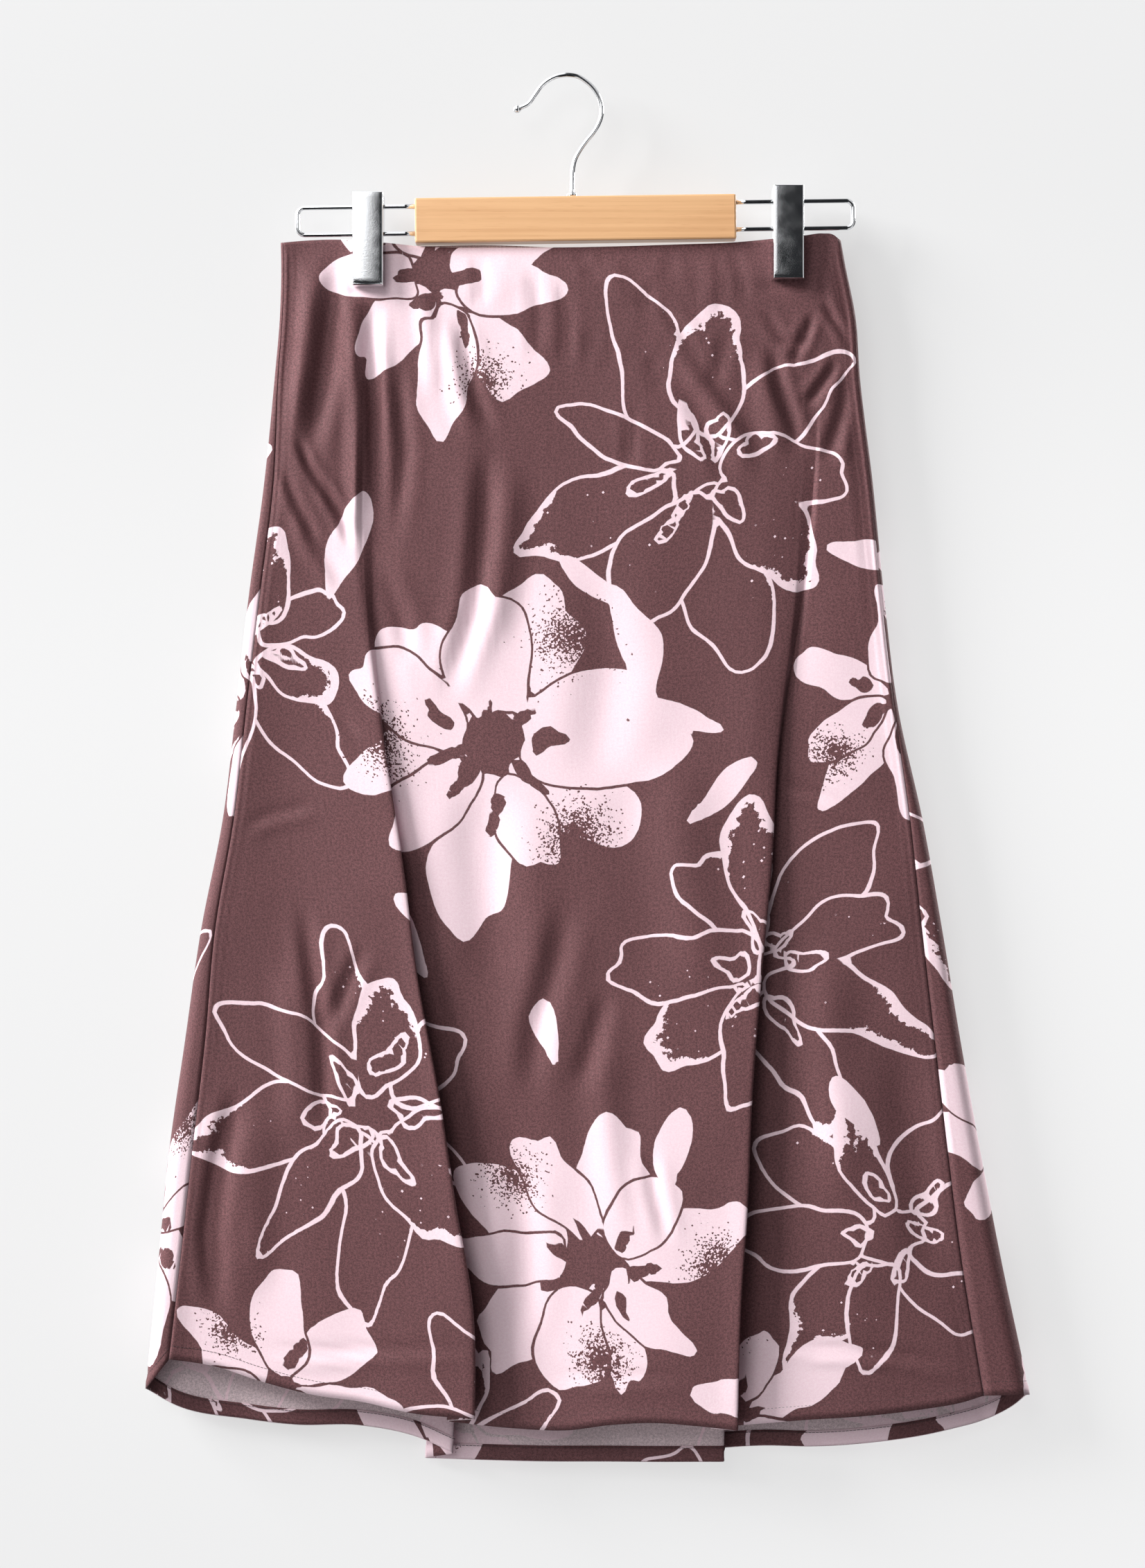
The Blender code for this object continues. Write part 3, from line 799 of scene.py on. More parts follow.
    def relief(self, panel: Panel, x: Array, y: Array, z: Array) -> Array:
        """How far the hung cloth stands off its plain form, outwards, in millimetres.

        It is a soft fullness below the waist, plus the long waves and the creases. Where it would
        sink past the room that is left to the other panel, a softplus, s log(1 + exp(t / s)),
        holds it just clear. It fades at the waist's edge and round each clip.

        Args:
            panel: Which panel.
            x: Places across, as seen.
            y: Real depths.
            z: Heights, as seen.

        Returns:
            The lift, in millimetres.
        """
        creases = FRONT_CREASES if panel is Panel.FRONT else BACK_CREASES
        full, within = self.fullness
        end, fading = self.full_end
        full = full * below(z, WAIST_LINE, within) * ease((z - end) / fading)
        lift = full + self.sway(x, z) + sum(crease.lift(x, z) for crease in creases)
        out = -y if panel is Panel.FRONT else y
        room = np.clip((self.half_depth(x, z) + out) / 2 - self.room_kept, *self.room_range)
        soft = self.room_soft
        lift = soft * np.logaddexp(0.0, (lift + room) / soft) - room
        least, start, within = self.edge_hold
        held = least + (1 - least) * below(z, start, within)
        half, fading = self.clip_hold
        for clip in CLIPS.values():
            beside = np.maximum(np.abs(x - clip.middle) - half, 0.0)
            held = held * ease(np.hypot(beside, np.maximum(clip.grip - z, 0.0)) / fading)
        return lift * held

    def rounded(self, points: Array, columns: dict[str, tuple[int, int]]) -> Array:
        """The folds rounded: columns near a fold move towards their neighbours' mean.

        Args:
            points: The panel's points.
            columns: First and last column of each section.

        Returns:
            The points with their folds rounded.
        """
        index = np.arange(points.shape[1])
        soft = np.zeros(points.shape[1])
        for name in ("left_lap", "right_lap"):
            for corner in columns[name]:
                bell = np.exp(-(((index - corner) / self.turn_columns) ** 2))
                soft = np.maximum(soft, bell)
        for _ in range(self.turn_passes):
            mean = points.copy()
            mean[:, 1:-1] = (points[:, :-2] + points[:, 2:]) / 2
            points = points + (mean - points) * (self.turn_pull * soft)[None, :, None]
        return points

    @staticmethod
    def facing(points: Array) -> Array:
        """Unit normals of a grid: the steps down crossed with the steps across."""
        return unit(np.cross(np.gradient(points, axis=0), np.gradient(points, axis=1)))

    @staticmethod
    def flatten(points: Array) -> Array:
        """Places on the flat cloth: running lengths across each row and down the middle column.

        Args:
            points: The panel's points.

        Returns:
            Places across and down, in millimetres.
        """
        steps = np.linalg.norm(np.diff(points, axis=1), axis=-1)
        across = np.concatenate([np.zeros((len(points), 1)), np.cumsum(steps, axis=1)], axis=1)
        middle = points.shape[1] // 2
        across = across - across[:, middle : middle + 1]
        drops = np.linalg.norm(np.diff(points, axis=0), axis=-1)
        down = np.concatenate([np.zeros((1, points.shape[1])), np.cumsum(drops, axis=0)])
        return np.stack([across, down], axis=-1)


def grid_faces(rows: int, columns: int) -> Array:
    """Quads of a grid of rows by columns, turned to face the way that facing() does."""
    index = np.arange(rows * columns).reshape(rows, columns)
    quads = np.stack([index[:-1, :-1], index[1:, :-1], index[1:, 1:], index[:-1, 1:]], axis=-1)
    return quads.reshape(-1, 4)


def closed_shell(near: Array, far: Array) -> tuple[Array, Array]:
    """A closed shell between two grids of the same size, joined round their rim.

    Args:
        near: The nearer grid, (rows, columns, 3), which faces the way that facing() does.
        far: The farther grid.

    Returns:
        Its points, (n, 3), and its quads: the near ones, the far ones, then the rim.
    """
    rows, columns, _ = near.shape
    count = rows * columns
    quads = grid_faces(rows, columns)
    index = np.arange(count).reshape(rows, columns)
    ring = np.concatenate([index[0, :-1], index[:-1, -1], index[-1, :0:-1], index[:0:-1, 0]])
    ahead = np.roll(ring, -1)
    rim = np.stack([ring, ahead, ahead + count, ring + count], axis=-1)
    points = np.concatenate([near.reshape(-1, 3), far.reshape(-1, 3)])
    return points, np.concatenate([quads, quads[:, [0, 3, 2, 1]] + count, rim])


def new_mesh(name: str, points: Array, quads: Array, smoothly: bool = True) -> Piece:
    """An object of quads, with its place in its mesh.

    Args:
        name: The object's name.
        points: Vertices in millimetres, (n, 3).
        quads: Vertex numbers, (m, 4).
        smoothly: Whether its faces are shaded smooth.

    Returns:
        The object, linked to the scene.
    """
    mesh = bpy.data.meshes.new(name)
    mesh.vertices.add(len(points))
    mesh.vertices.foreach_set("co", (points * MM).astype(np.float32).ravel())
    mesh.loops.add(quads.size)
    mesh.loops.foreach_set("vertex_index", quads.astype(np.int32).ravel())
    mesh.polygons.add(len(quads))
    mesh.polygons.foreach_set("loop_start", np.arange(len(quads), dtype=np.int32) * 4)
    mesh.update(calc_edges=True)
    mesh.validate()
    if smoothly:
        mesh.shade_smooth()
    made = bpy.data.objects.new(name, mesh)
    bpy.context.scene.collection.objects.link(made)
    return made


def put_attribute(made: Piece, name: str, values: Array) -> None:
    """Writes a vector for each vertex as a named attribute."""
    layer = made.data.attributes.new(name, "FLOAT_VECTOR", "POINT")
    layer.data.foreach_set("vector", values.astype(np.float32).ravel())


def placed(piece: Piece, slot: str, *nodes: str) -> None:
    """Puts an added piece on the part's body, in the place of any nodes it names, which it hides."""
    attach(piece, "root")
    if nodes:
        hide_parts(*nodes)


@dataclass
class ClothShell:
    """A thin closed shell about a grid of cloth, with its printed face and its wrong side."""

    name: str  # the piece's name
    grid: Grid  # the cloth's middle surface
    thickness: float  # its thickness in millimetres
    face_to_viewer: bool  # whether the printed face is on the viewer's side

    def build(self, face: Material, wrong: Material, design: "BlossomPrint") -> Piece:
        """The shell: the grid moved out by half the thickness each way, and closed.

        Args:
            face, wrong: The printed side's and the wrong side's materials.
            design: The print, which fills the attributes that the materials read.

        Returns:
            The finished piece.
        """
        half = self.grid.facing * self.thickness / 2
        points, faces = closed_shell(self.grid.points + half, self.grid.points - half)
        made = new_mesh(self.name, points, faces)
        first, second = (face, wrong) if self.face_to_viewer else (wrong, face)
        made.data.materials.append(first)
        made.data.materials.append(second)
        rows, columns, _ = self.grid.points.shape
        side = (rows - 1) * (columns - 1)
        slots = np.zeros(len(faces), dtype=np.int32)
        slots[side : 2 * side] = 1
        if not self.face_to_viewer:
            slots[2 * side :] = 1
        made.data.polygons.foreach_set("material_index", slots)
        flat = self.grid.flat.reshape(-1, 2)
        for name, values in design.fields(flat[:, 0], flat[:, 1]).items():
            put_attribute(made, name, np.concatenate([values, values]))
        return made


@dataclass(frozen=True)
class Blossom:
    """One blossom of the print, on the flat cloth, in millimetres."""

    across: float  # its middle, from the panel's middle
    down: float  # its middle, from the waist
    radius: float  # length of its longest petals
    petals: int  # how many petals it has
    turn: float  # angle of the first petal, in degrees
    bloom: Bloom  # how it is drawn
    seed: int  # seed of its uneven petals


FRONT_BLOSSOMS: tuple[Blossom, ...] = (
    Blossom(-92, 22, 107, 9, 12, Bloom.FILLED, 3),
    Blossom(78, 142, 130, 9, 40, Bloom.DRAWN, 5),
    Blossom(-52, 322, 137, 11, 5, Bloom.FILLED, 8),
    Blossom(214, 300, 93, 8, 70, Bloom.FILLED, 21),
    Blossom(-216, 262, 97, 8, 20, Bloom.DRAWN, 17),
    Blossom(132, 470, 135, 9, 25, Bloom.DRAWN, 12),
    Blossom(-172, 560, 130, 9, 55, Bloom.DRAWN, 14),
    Blossom(4, 652, 107, 10, 33, Bloom.FILLED, 31),
    Blossom(236, 640, 111, 9, 10, Bloom.DRAWN, 37),
    Blossom(-248, 742, 93, 8, 0, Bloom.FILLED, 41),
    Blossom(140, 758, 84, 8, 18, Bloom.FILLED, 43),
    Blossom(-96, 782, 100, 9, 48, Bloom.DRAWN, 47),
)

BACK_BLOSSOMS: tuple[Blossom, ...] = (
    Blossom(60, 40, 107, 9, 30, Bloom.DRAWN, 51),
    Blossom(-110, 130, 111, 10, 0, Bloom.FILLED, 53),
    Blossom(120, 250, 128, 10, 15, Bloom.FILLED, 55),
    Blossom(-60, 350, 130, 9, 50, Bloom.DRAWN, 57),
    Blossom(-240, 300, 97, 8, 10, Bloom.FILLED, 59),
    Blossom(210, 420, 111, 9, 35, Bloom.DRAWN, 61),
    Blossom(40, 530, 121, 10, 5, Bloom.FILLED, 63),
    Blossom(-180, 540, 125, 9, 25, Bloom.DRAWN, 65),
    Blossom(270, 600, 100, 9, 60, Bloom.FILLED, 67),
    Blossom(-300, 640, 104, 8, 20, Bloom.FILLED, 69),
    Blossom(150, 700, 125, 9, 40, Bloom.DRAWN, 71),
    Blossom(-80, 742, 107, 9, 12, Bloom.FILLED, 73),
    Blossom(300, 780, 93, 8, 0, Bloom.FILLED, 75),
    Blossom(-250, 790, 97, 9, 33, Bloom.DRAWN, 77),
)

LOOSE_PETALS: Table = (  # across, down, length, width, turn
    (38, 250, 34, 13, 72),
    (8, 214, 20, 9, 40),
    (58, 300, 26, 12, 20),
    (-150, 190, 30, 11, 110),
    (96, 352, 22, 10, 140),
    (-118, 440, 26, 10, 60),
    (60, 575, 24, 10, 100),
    (186, 205, 20, 9, 15),
    (-20, 500, 20, 8, 80),
    (206, 560, 22, 9, 45),
)


PETAL_TIP = 0.42  # angle over which a petal's tip is drawn out, in radians
LEAST_SLOPE = 2e-3  # keeps a petal's distances finite at its middle


@dataclass(frozen=True)
class PetalShape:
    """A petal: an oval on the flat cloth with an uneven edge."""

    middle: Pair  # its middle, across and down
    size: Pair  # half its length and half its width
    turn: float  # the angle of its length, in radians
    tip: float = 0.0  # how far its outer end is drawn out, or notched below zero
    wobble: Table = ()  # the edge's waves: how many, how high and their phase

    def distance(self, u: Array, v: Array) -> Array:
        """Distance to the petal's edge, to first order, below zero inside it.

        In the petal's own scale its edge is at the radius R(t) = 1 + tip exp(-(t / w)^2) + the
        sum of its waves, with t the angle from its length and w the tip's width, and the distance
        is (r - R) over the slope of r - R.

        Args:
            u: Places across.
            v: Places down.

        Returns:
            The distances, in millimetres.
        """
        off_u, off_v = u - self.middle[0], v - self.middle[1]
        p = (off_u * math.cos(self.turn) + off_v * math.sin(self.turn)) / self.size[0]
        q = (off_v * math.cos(self.turn) - off_u * math.sin(self.turn)) / self.size[1]
        radius = np.sqrt(p * p + q * q) + 1e-6
        angle = np.arctan2(q, p)
        bell = self.tip * np.exp(-((angle / PETAL_TIP) ** 2))
        edge = 1.0 + bell
        slope = -2 * angle / PETAL_TIP**2 * bell
        for count, height, phase in self.wobble:
            edge = edge + height * np.sin(count * angle + phase)
            slope = slope + height * count * np.cos(count * angle + phase)
        rise_p = p / radius + slope * q / radius**2
        rise_q = q / radius - slope * p / radius**2
        steep = np.sqrt((rise_p / self.size[0]) ** 2 + (rise_q / self.size[1]) ** 2)
        return (radius - edge) / np.maximum(steep, LEAST_SLOPE)


def patch(u: Array, v: Array, middle: Pair, reach: float) -> Array:
    """A soft round patch: exp(-(d / reach)^2)."""
    return np.exp(-(((u - middle[0]) ** 2 + (v - middle[1]) ** 2) / reach**2))


def nearest(distances: list[Array]) -> Array:
    """The least of some distances."""
    return np.minimum.reduce(distances)


ROUND = 6.28  # upper end of a random phase, in radians
FAR = 60.0  # a distance past every petal's reach


@dataclass
class BlossomPrint:
    """A print of large scattered blossoms, some filled and some only drawn in line.

    Each has two layers of petals. The lower ones show only where the upper ones leave them bare.
    """

    blossoms: tuple[Blossom, ...]  # where they are and how they are drawn
    loose: Table  # loose filled petals between them
    petal_turn: float = 0.17  # how far a petal may be turned from its even place, in radians
    petal_length: Pair = (0.72, 1.0)  # range of a petal's length, in shares of the blossom's radius
    petal_width: Pair = (0.17, 0.25)  # range of its half width, in shares of its length
    petal_middle: float = 0.58  # how far out its middle is, in shares of its length
    petal_half: float = 0.41  # half its length, in the same shares
    petal_tips: tuple[float, ...] = (0.34, 0.2, -0.24, 0.0, 0.28)  # what its tip is picked from
    petal_waves: Pair = (0.02, 0.16)  # range of its edge's waves
    # range of a small shape's distance from the middle, in shares of the radius
    heart_reach: Pair = (0.13, 0.30)
    heart_length: Pair = (0.07, 0.13)  # range of its half length, in the same shares
    heart_width: Pair = (0.028, 0.055)  # range of its half width
    heart_tip: float = 0.3  # how far its tip is drawn out

    @staticmethod
    def beyond(bloom: Blossom, angle: float, reach: float) -> Pair:
        """The place at an angle and a distance from a blossom's middle."""
        return bloom.across + reach * math.cos(angle), bloom.down + reach * math.sin(angle)

    def petals_of(self, bloom: Blossom) -> list[PetalShape]:
        """The petals of a blossom, made uneven by its seed.

        Args:
            bloom: The blossom.

        Returns:
            Its petals, in their order round it.
        """
        rng = np.random.default_rng(bloom.seed)
        made = []
        for place in range(bloom.petals):
            angle = math.radians(bloom.turn) + 2 * math.pi * place / bloom.petals
            angle = angle + rng.uniform(-self.petal_turn, self.petal_turn)
            length = bloom.radius * rng.uniform(*self.petal_length) * (1.0 if place % 2 else 0.9)
            width = length * rng.uniform(*self.petal_width)
            middle = self.beyond(bloom, angle, length * self.petal_middle)
            tip = float(rng.choice(self.petal_tips))
            waves = tuple(
                (count, rng.uniform(*self.petal_waves) / count * 2, rng.uniform(0, ROUND))
                for count in (2, 3, 5, 8)
            )
            made.append(PetalShape(middle, (length * self.petal_half, width), angle, tip, waves))
        return made

    def heart_of(self, bloom: Blossom) -> list[PetalShape]:
        """Small crooked shapes about a blossom's middle.

        Args:
            bloom: The blossom.

        Returns:
            Its small shapes.
        """
        rng = np.random.default_rng(bloom.seed + 1000)
        made = []
        count = max(5, bloom.petals - 3)
        for place in range(count):
            angle = 2 * math.pi * (place + rng.uniform(-0.25, 0.25)) / count
            middle = self.beyond(bloom, angle, bloom.radius * rng.uniform(*self.heart_reach))
            long = bloom.radius * rng.uniform(*self.heart_length)
            size = (long, bloom.radius * rng.uniform(*self.heart_width))
            waves = ((3, 0.16, rng.uniform(0, ROUND)), (4, 0.12, rng.uniform(0, ROUND)))
            turn = angle + rng.uniform(-0.5, 0.5)
            made.append(PetalShape(middle, size, turn, self.heart_tip, waves))
        return made

    def fields(self, across: Array, down: Array) -> dict[str, Array]:
        """What the cloth materials read at each vertex.

        Args:
            across: Places across the flat cloth.
            down: Places down it.

        Returns:
            cloth: the flat place; filled and drawn: distances to the upper petals, the lower
            petals and the small shapes of each kind of blossom; marks: how far the line
            swells, how much brown grain there is, and where the small lozenges lie.
        """
        u = across + 2.2 * np.sin(down / 15.0 + 0.4) + 1.5 * np.sin(across / 7.5 + down / 11.0)
        v = down + 2.2 * np.sin(across / 17.0 + 1.9) + 1.4 * np.sin(down / 8.3 - across / 13.0)
        far = np.full(u.shape, FAR)
        layers = {kind: [[far], [far], [far]] for kind in Bloom}
        swell, grain, dots = np.zeros(u.shape), np.zeros(u.shape), np.zeros(u.shape)
        for bloom in self.blossoms:
            petals = self.petals_of(bloom)
            upper, lower, small = layers[bloom.bloom]
            upper += [shape.distance(u, v) for shape in petals[::2]]
            lower += [shape.distance(u, v) for shape in petals[1::2]]
            small += [shape.distance(u, v) for shape in self.heart_of(bloom)]
            for order, shape in enumerate(petals):
                long, wide = shape.size
                ahead = np.array((math.cos(shape.turn), math.sin(shape.turn)))
                aside = np.array((-ahead[1], ahead[0]))
                tip = np.array(shape.middle) + ahead * long * 0.72
                edge = np.array(shape.middle) + aside * wide * 0.8 + ahead * long * 0.3
                if bloom.bloom is Bloom.FILLED:
                    if order % 4 == 1:
                        grain = np.maximum(grain, patch(u, v, tuple(edge), bloom.radius * 0.12))
                    continue
                if order % 3 == 0:
                    swell = np.maximum(swell, patch(u, v, tuple(tip), bloom.radius * 0.2))
                if order % 3 != 1:
                    dots = np.maximum(dots, patch(u, v, tuple(edge), bloom.radius * 0.2))
        for u0, v0, length, width, turn in self.loose:
            waves = ((2, 0.10, turn), (3, 0.06, 2.0 * turn))
            shape = PetalShape((u0, v0), (length, width), math.radians(turn), 0.45, waves)
            layers[Bloom.FILLED][0].append(shape.distance(u, v))
        return {
            "cloth": np.stack([across, down, np.zeros(u.shape)], axis=-1) * MM,
            "filled": np.stack([nearest(layer) for layer in layers[Bloom.FILLED]], axis=-1),
            "drawn": np.stack([nearest(layer) for layer in layers[Bloom.DRAWN]], axis=-1),
            "marks": np.stack([swell, grain, dots], axis=-1),
        }


class NodeKit:
    """Short calls for the nodes of one tree."""

    def __init__(self, tree: bpy.types.NodeTree) -> None:
        """Keeps the tree that nodes are added to."""
        self.tree = tree

    def node(self, kind: str, inputs: dict | None = None, **settings: object) -> bpy.types.Node:
        """A node of a kind.

        Args:
            kind: The node's type.
            inputs: What its named or numbered inputs are linked or set to.
            settings: Its properties.

        Returns:
            The node.
        """
        made = self.tree.nodes.new(kind)
        for name, value in settings.items():
            setattr(made, name, value)
        self.fill(made, inputs or {})
        return made

    def fill(self, node: bpy.types.Node, inputs: dict) -> None:
        """Links or sets several inputs of a node."""
        for name, value in inputs.items():
            self.put(node.inputs[name], value)

    def put(self, socket: Socket, value: object) -> None:
        """Links a socket to another, or sets its value."""
        if isinstance(value, Socket):
            self.tree.links.new(value, socket)
        else:
            socket.default_value = value

    def math(self, operation: str, *values: object, clamp: bool = False) -> Socket:
        """The result of a Math node."""
        inputs = dict(enumerate(values))
        return self.node("ShaderNodeMath", inputs, operation=operation, use_clamp=clamp).outputs[0]

    def times(self, value: object, share: object) -> Socket:
        """A product."""
        return self.math("MULTIPLY", value, share)

    def plus(self, value: object, more: object) -> Socket:
        """A sum."""
        return self.math("ADD", value, more)

    def less(self, value: object, part: object) -> Socket:
        """A difference."""
        return self.math("SUBTRACT", value, part)

    def most(self, value: object, other: object) -> Socket:
        """The greater of two values."""
        return self.math("MAXIMUM", value, other)

    def mix(self, share: object, first: object, second: object) -> Socket:
        """A mix of two colours."""
        inputs = {"Factor": share, "A": first, "B": second}
        return self.node("ShaderNodeMix", inputs, data_type="RGBA").outputs["Result"]

    def step(self, value: object, low: float, high: float) -> Socket:
        """0 to 1 as the value goes from low to high, softly."""
        inputs = {"Value": value, "From Min": low, "From Max": high}
        made = self.node("ShaderNodeMapRange", inputs, interpolation_type="SMOOTHSTEP")
        return made.outputs["Result"]

    def noise(self, place: object, scale: float, detail: float = 2.0, rough: float = 0.5) -> Socket:
        """The value of a Noise node."""
        inputs = {"Vector": place, "Scale": scale, "Detail": detail, "Roughness": rough}
        return self.node("ShaderNodeTexNoise", inputs).outputs["Fac"]

    def cells(self, place: object, scale: float, distance: str = "EUCLIDEAN") -> bpy.types.Node:
        """A Voronoi node."""
        return self.node("ShaderNodeTexVoronoi", {"Vector": place, "Scale": scale}, distance=distance)

    def stretched(self, place: object, scale: Triple) -> Socket:
        """A vector with each axis scaled."""
        return self.node("ShaderNodeMapping", {"Vector": place, "Scale": scale}).outputs["Vector"]

    def place(self) -> Socket:
        """Object coordinates."""
        return self.node("ShaderNodeTexCoord").outputs["Object"]

    def attribute(self, name: str) -> Socket:
        """The vector of a mesh attribute."""
        return self.node("ShaderNodeAttribute", attribute_name=name).outputs["Vector"]

    def parts(self, vector: object) -> list[Socket]:
        """The three numbers of a vector."""
        return list(self.node("ShaderNodeSeparateXYZ", {0: vector}).outputs)

    def bump(self, height: object, strength: float, distance: float, under: object = None) -> Socket:
        """The normal of a Bump node, over another normal if there is one."""
        inputs = {"Strength": strength, "Distance": distance, "Height": height}
        inputs |= {} if under is None else {"Normal": under}
        return self.node("ShaderNodeBump", inputs).outputs["Normal"]


def new_group(name: str, outputs: tuple[str, ...]) -> NodeKit:
    """A shader node group with named number outputs.

    Args:
        name: The group's name.
        outputs: What its outputs are called.
    """
    tree = bpy.data.node_groups.new(name, "ShaderNodeTree")
    for label in outputs:
        tree.interface.new_socket(label, in_out="OUTPUT", socket_type="NodeSocketFloat")
    return NodeKit(tree)


def new_material(name: str) -> tuple[Material, NodeKit, bpy.types.Node]:
    made = bpy.data.materials.new(name)
    made.use_nodes = True
    return made, NodeKit(made.node_tree), made.node_tree.nodes["Principled BSDF"]


@dataclass(frozen=True)
class PrintGroup:
    """The node group that turns the print's attributes into masks, and the cloth's weave."""

    soft: float = 0.22  # how soft the print's edges are, in millimetres
    half_line: float = 1.15  # half the width of a drawn line
    gap: float = 1.6  # bare gap between an upper and a lower petal
    wander: float = 1.3  # how far the edges wander
    swell: Pair = (16.0, 2.4)  # how far a line may swell, and how much of that is lost before it shows
    # lozenge cells to the metre, which share of them is drawn, and their size
    lozenges: tuple[float, Pair, Pair] = (165.0, (0.42, 0.44), (0.20, 0.15))
    lozenge_depth: Pair = (-2.2, -3.0)  # how far inside a petal they start
    stipple: Pair = (1000.0, 0.95)  # grain cells to the metre, and the share of them that is brown at most
    warp: float = 0.00042  # distance from thread to thread across the cloth, in metres
    weft: float = 0.00046  # the same down the cloth

    def inside(self, kit: NodeKit, distance: object) -> Socket:
        """1 inside a shape, from the distance to its edge."""
        return kit.step(distance, self.soft, -self.soft)

    def outside(self, kit: NodeKit, distance: object) -> Socket:
        """1 outside a shape, from the distance to its edge."""
        return kit.step(distance, -self.soft, self.soft)

    def line(self, kit: NodeKit, distance: object, wander: Socket, reach: object) -> Socket:
        """The band about an edge, half_line wide outwards and a reach wide inwards."""
        place = kit.plus(distance, wander)
        outer = kit.step(place, self.half_line + self.soft, self.half_line - self.soft)
        return kit.times(outer, self.outside(kit, kit.plus(place, reach)))

    def filled(self, kit: NodeKit, wander: Socket) -> Socket:
        """The filled blossoms: their upper petals, plus their lower ones where they are more than
        a gap away from the upper ones, less their small shapes.

        Args:
            kit: The group's kit.
            wander: How far the edges wander.

        Returns:
            The mask.
        """
        upper, lower, small = kit.parts(kit.attribute("filled"))
        upper, lower = kit.plus(upper, wander), kit.plus(lower, wander)
        clear = kit.step(upper, self.gap - self.soft, self.gap + self.soft)
        body = kit.most(self.inside(kit, upper), kit.times(self.inside(kit, lower), clear))
        return kit.times(body, self.outside(kit, kit.plus(small, wander)))

    def drawn(self, kit: NodeKit, wander: Socket, swell: Socket, dots: Socket) -> Socket:
        """The drawn blossoms: lines that swell to the inside where the marks say so, and lozenges.

        A lower petal's line stops at an upper petal. Lozenges are cells of a Voronoi texture with
        the city-block distance.

        Args:
            kit: The group's kit.
            wander: How far the edges wander.
            swell: Where lines swell.
            dots: Where lozenges lie.

        Returns:
            The mask.
        """
        cloth = kit.attribute("cloth")
        most, lost = self.swell
        reach = kit.times(kit.times(swell, kit.noise(cloth, 260.0, 3.0, 0.6)), most)
        reach = kit.plus(kit.most(kit.less(reach, lost), 0.0), self.half_line)
        upper, lower, small = kit.parts(kit.attribute("drawn"))
        under = kit.times(self.line(kit, lower, wander, reach), self.outside(kit, upper))
        lines = kit.most(self.line(kit, upper, wander, reach), under)
        lines = kit.most(lines, self.line(kit, small, wander, self.half_line))
        scale, share, size = self.lozenges
        cells = kit.cells(cloth, scale, "MANHATTAN")
        few = kit.step(kit.parts(cells.outputs["Color"])[0], *share)
        lozenge = kit.times(kit.step(cells.outputs["Distance"], *size), few)
        within = kit.step(kit.math("MINIMUM", upper, lower), *self.lozenge_depth)
        spots = kit.times(lozenge, kit.times(within, kit.step(dots, 0.3, 0.5)))
        return kit.most(lines, spots)

    def bare(self, kit: NodeKit, grain: Socket) -> Socket:
        """0 where a cell of the brown grain lies, and 1 elsewhere."""
        scale, share = self.stipple
        chance = kit.parts(kit.cells(kit.attribute("cloth"), scale).outputs["Color"])[0]
        return kit.less(1.0, kit.math("LESS_THAN", chance, kit.times(grain, share)))

    def build(self) -> bpy.types.NodeTree:
        """Pink is where a filled blossom or a drawn one lies, less the brown grain.

        The weave is a grid of sine ridges, sin(warp) sin(weft) + 0.4 sin(weft), the speckle is
        fine and coarser noise, the slub is noise drawn out along the cloth, and the cloud is slow
        noise.

        Returns:
            The group, with the outputs Pink, Speckle, Slub, Cloud and Weave.
        """
        kit = new_group("blossom_print", ("Pink", "Speckle", "Slub", "Cloud", "Weave"))
        out = kit.node("NodeGroupOutput").inputs
        cloth = kit.attribute("cloth")
        swell, grain, dots = kit.parts(kit.attribute("marks"))
        wander = kit.times(kit.less(kit.noise(cloth, 90.0), 0.5), self.wander)
        pink = kit.most(self.filled(kit, wander), self.drawn(kit, wander, swell, dots))
        kit.put(out["Pink"], kit.times(pink, self.bare(kit, grain)))
        fine = kit.times(kit.noise(cloth, 1500.0, 2.0, 0.7), 0.55)
        kit.put(out["Speckle"], kit.plus(fine, kit.times(kit.noise(cloth, 620.0, 2.0, 0.6), 0.45)))
        kit.put(out["Slub"], kit.noise(kit.stretched(cloth, (1.0, 0.12, 1.0)), 420.0, 3.0, 0.6))
        kit.put(out["Cloud"], kit.noise(cloth, 14.0, 3.0, 0.55))
        across, down, _ = kit.parts(cloth)
        warp = kit.math("SINE", kit.times(across, 2 * math.pi / self.warp))
        weft = kit.math("SINE", kit.times(down, 2 * math.pi / self.weft))
        kit.put(out["Weave"], kit.plus(kit.times(warp, weft), kit.times(weft, 0.4)))
        return kit.tree


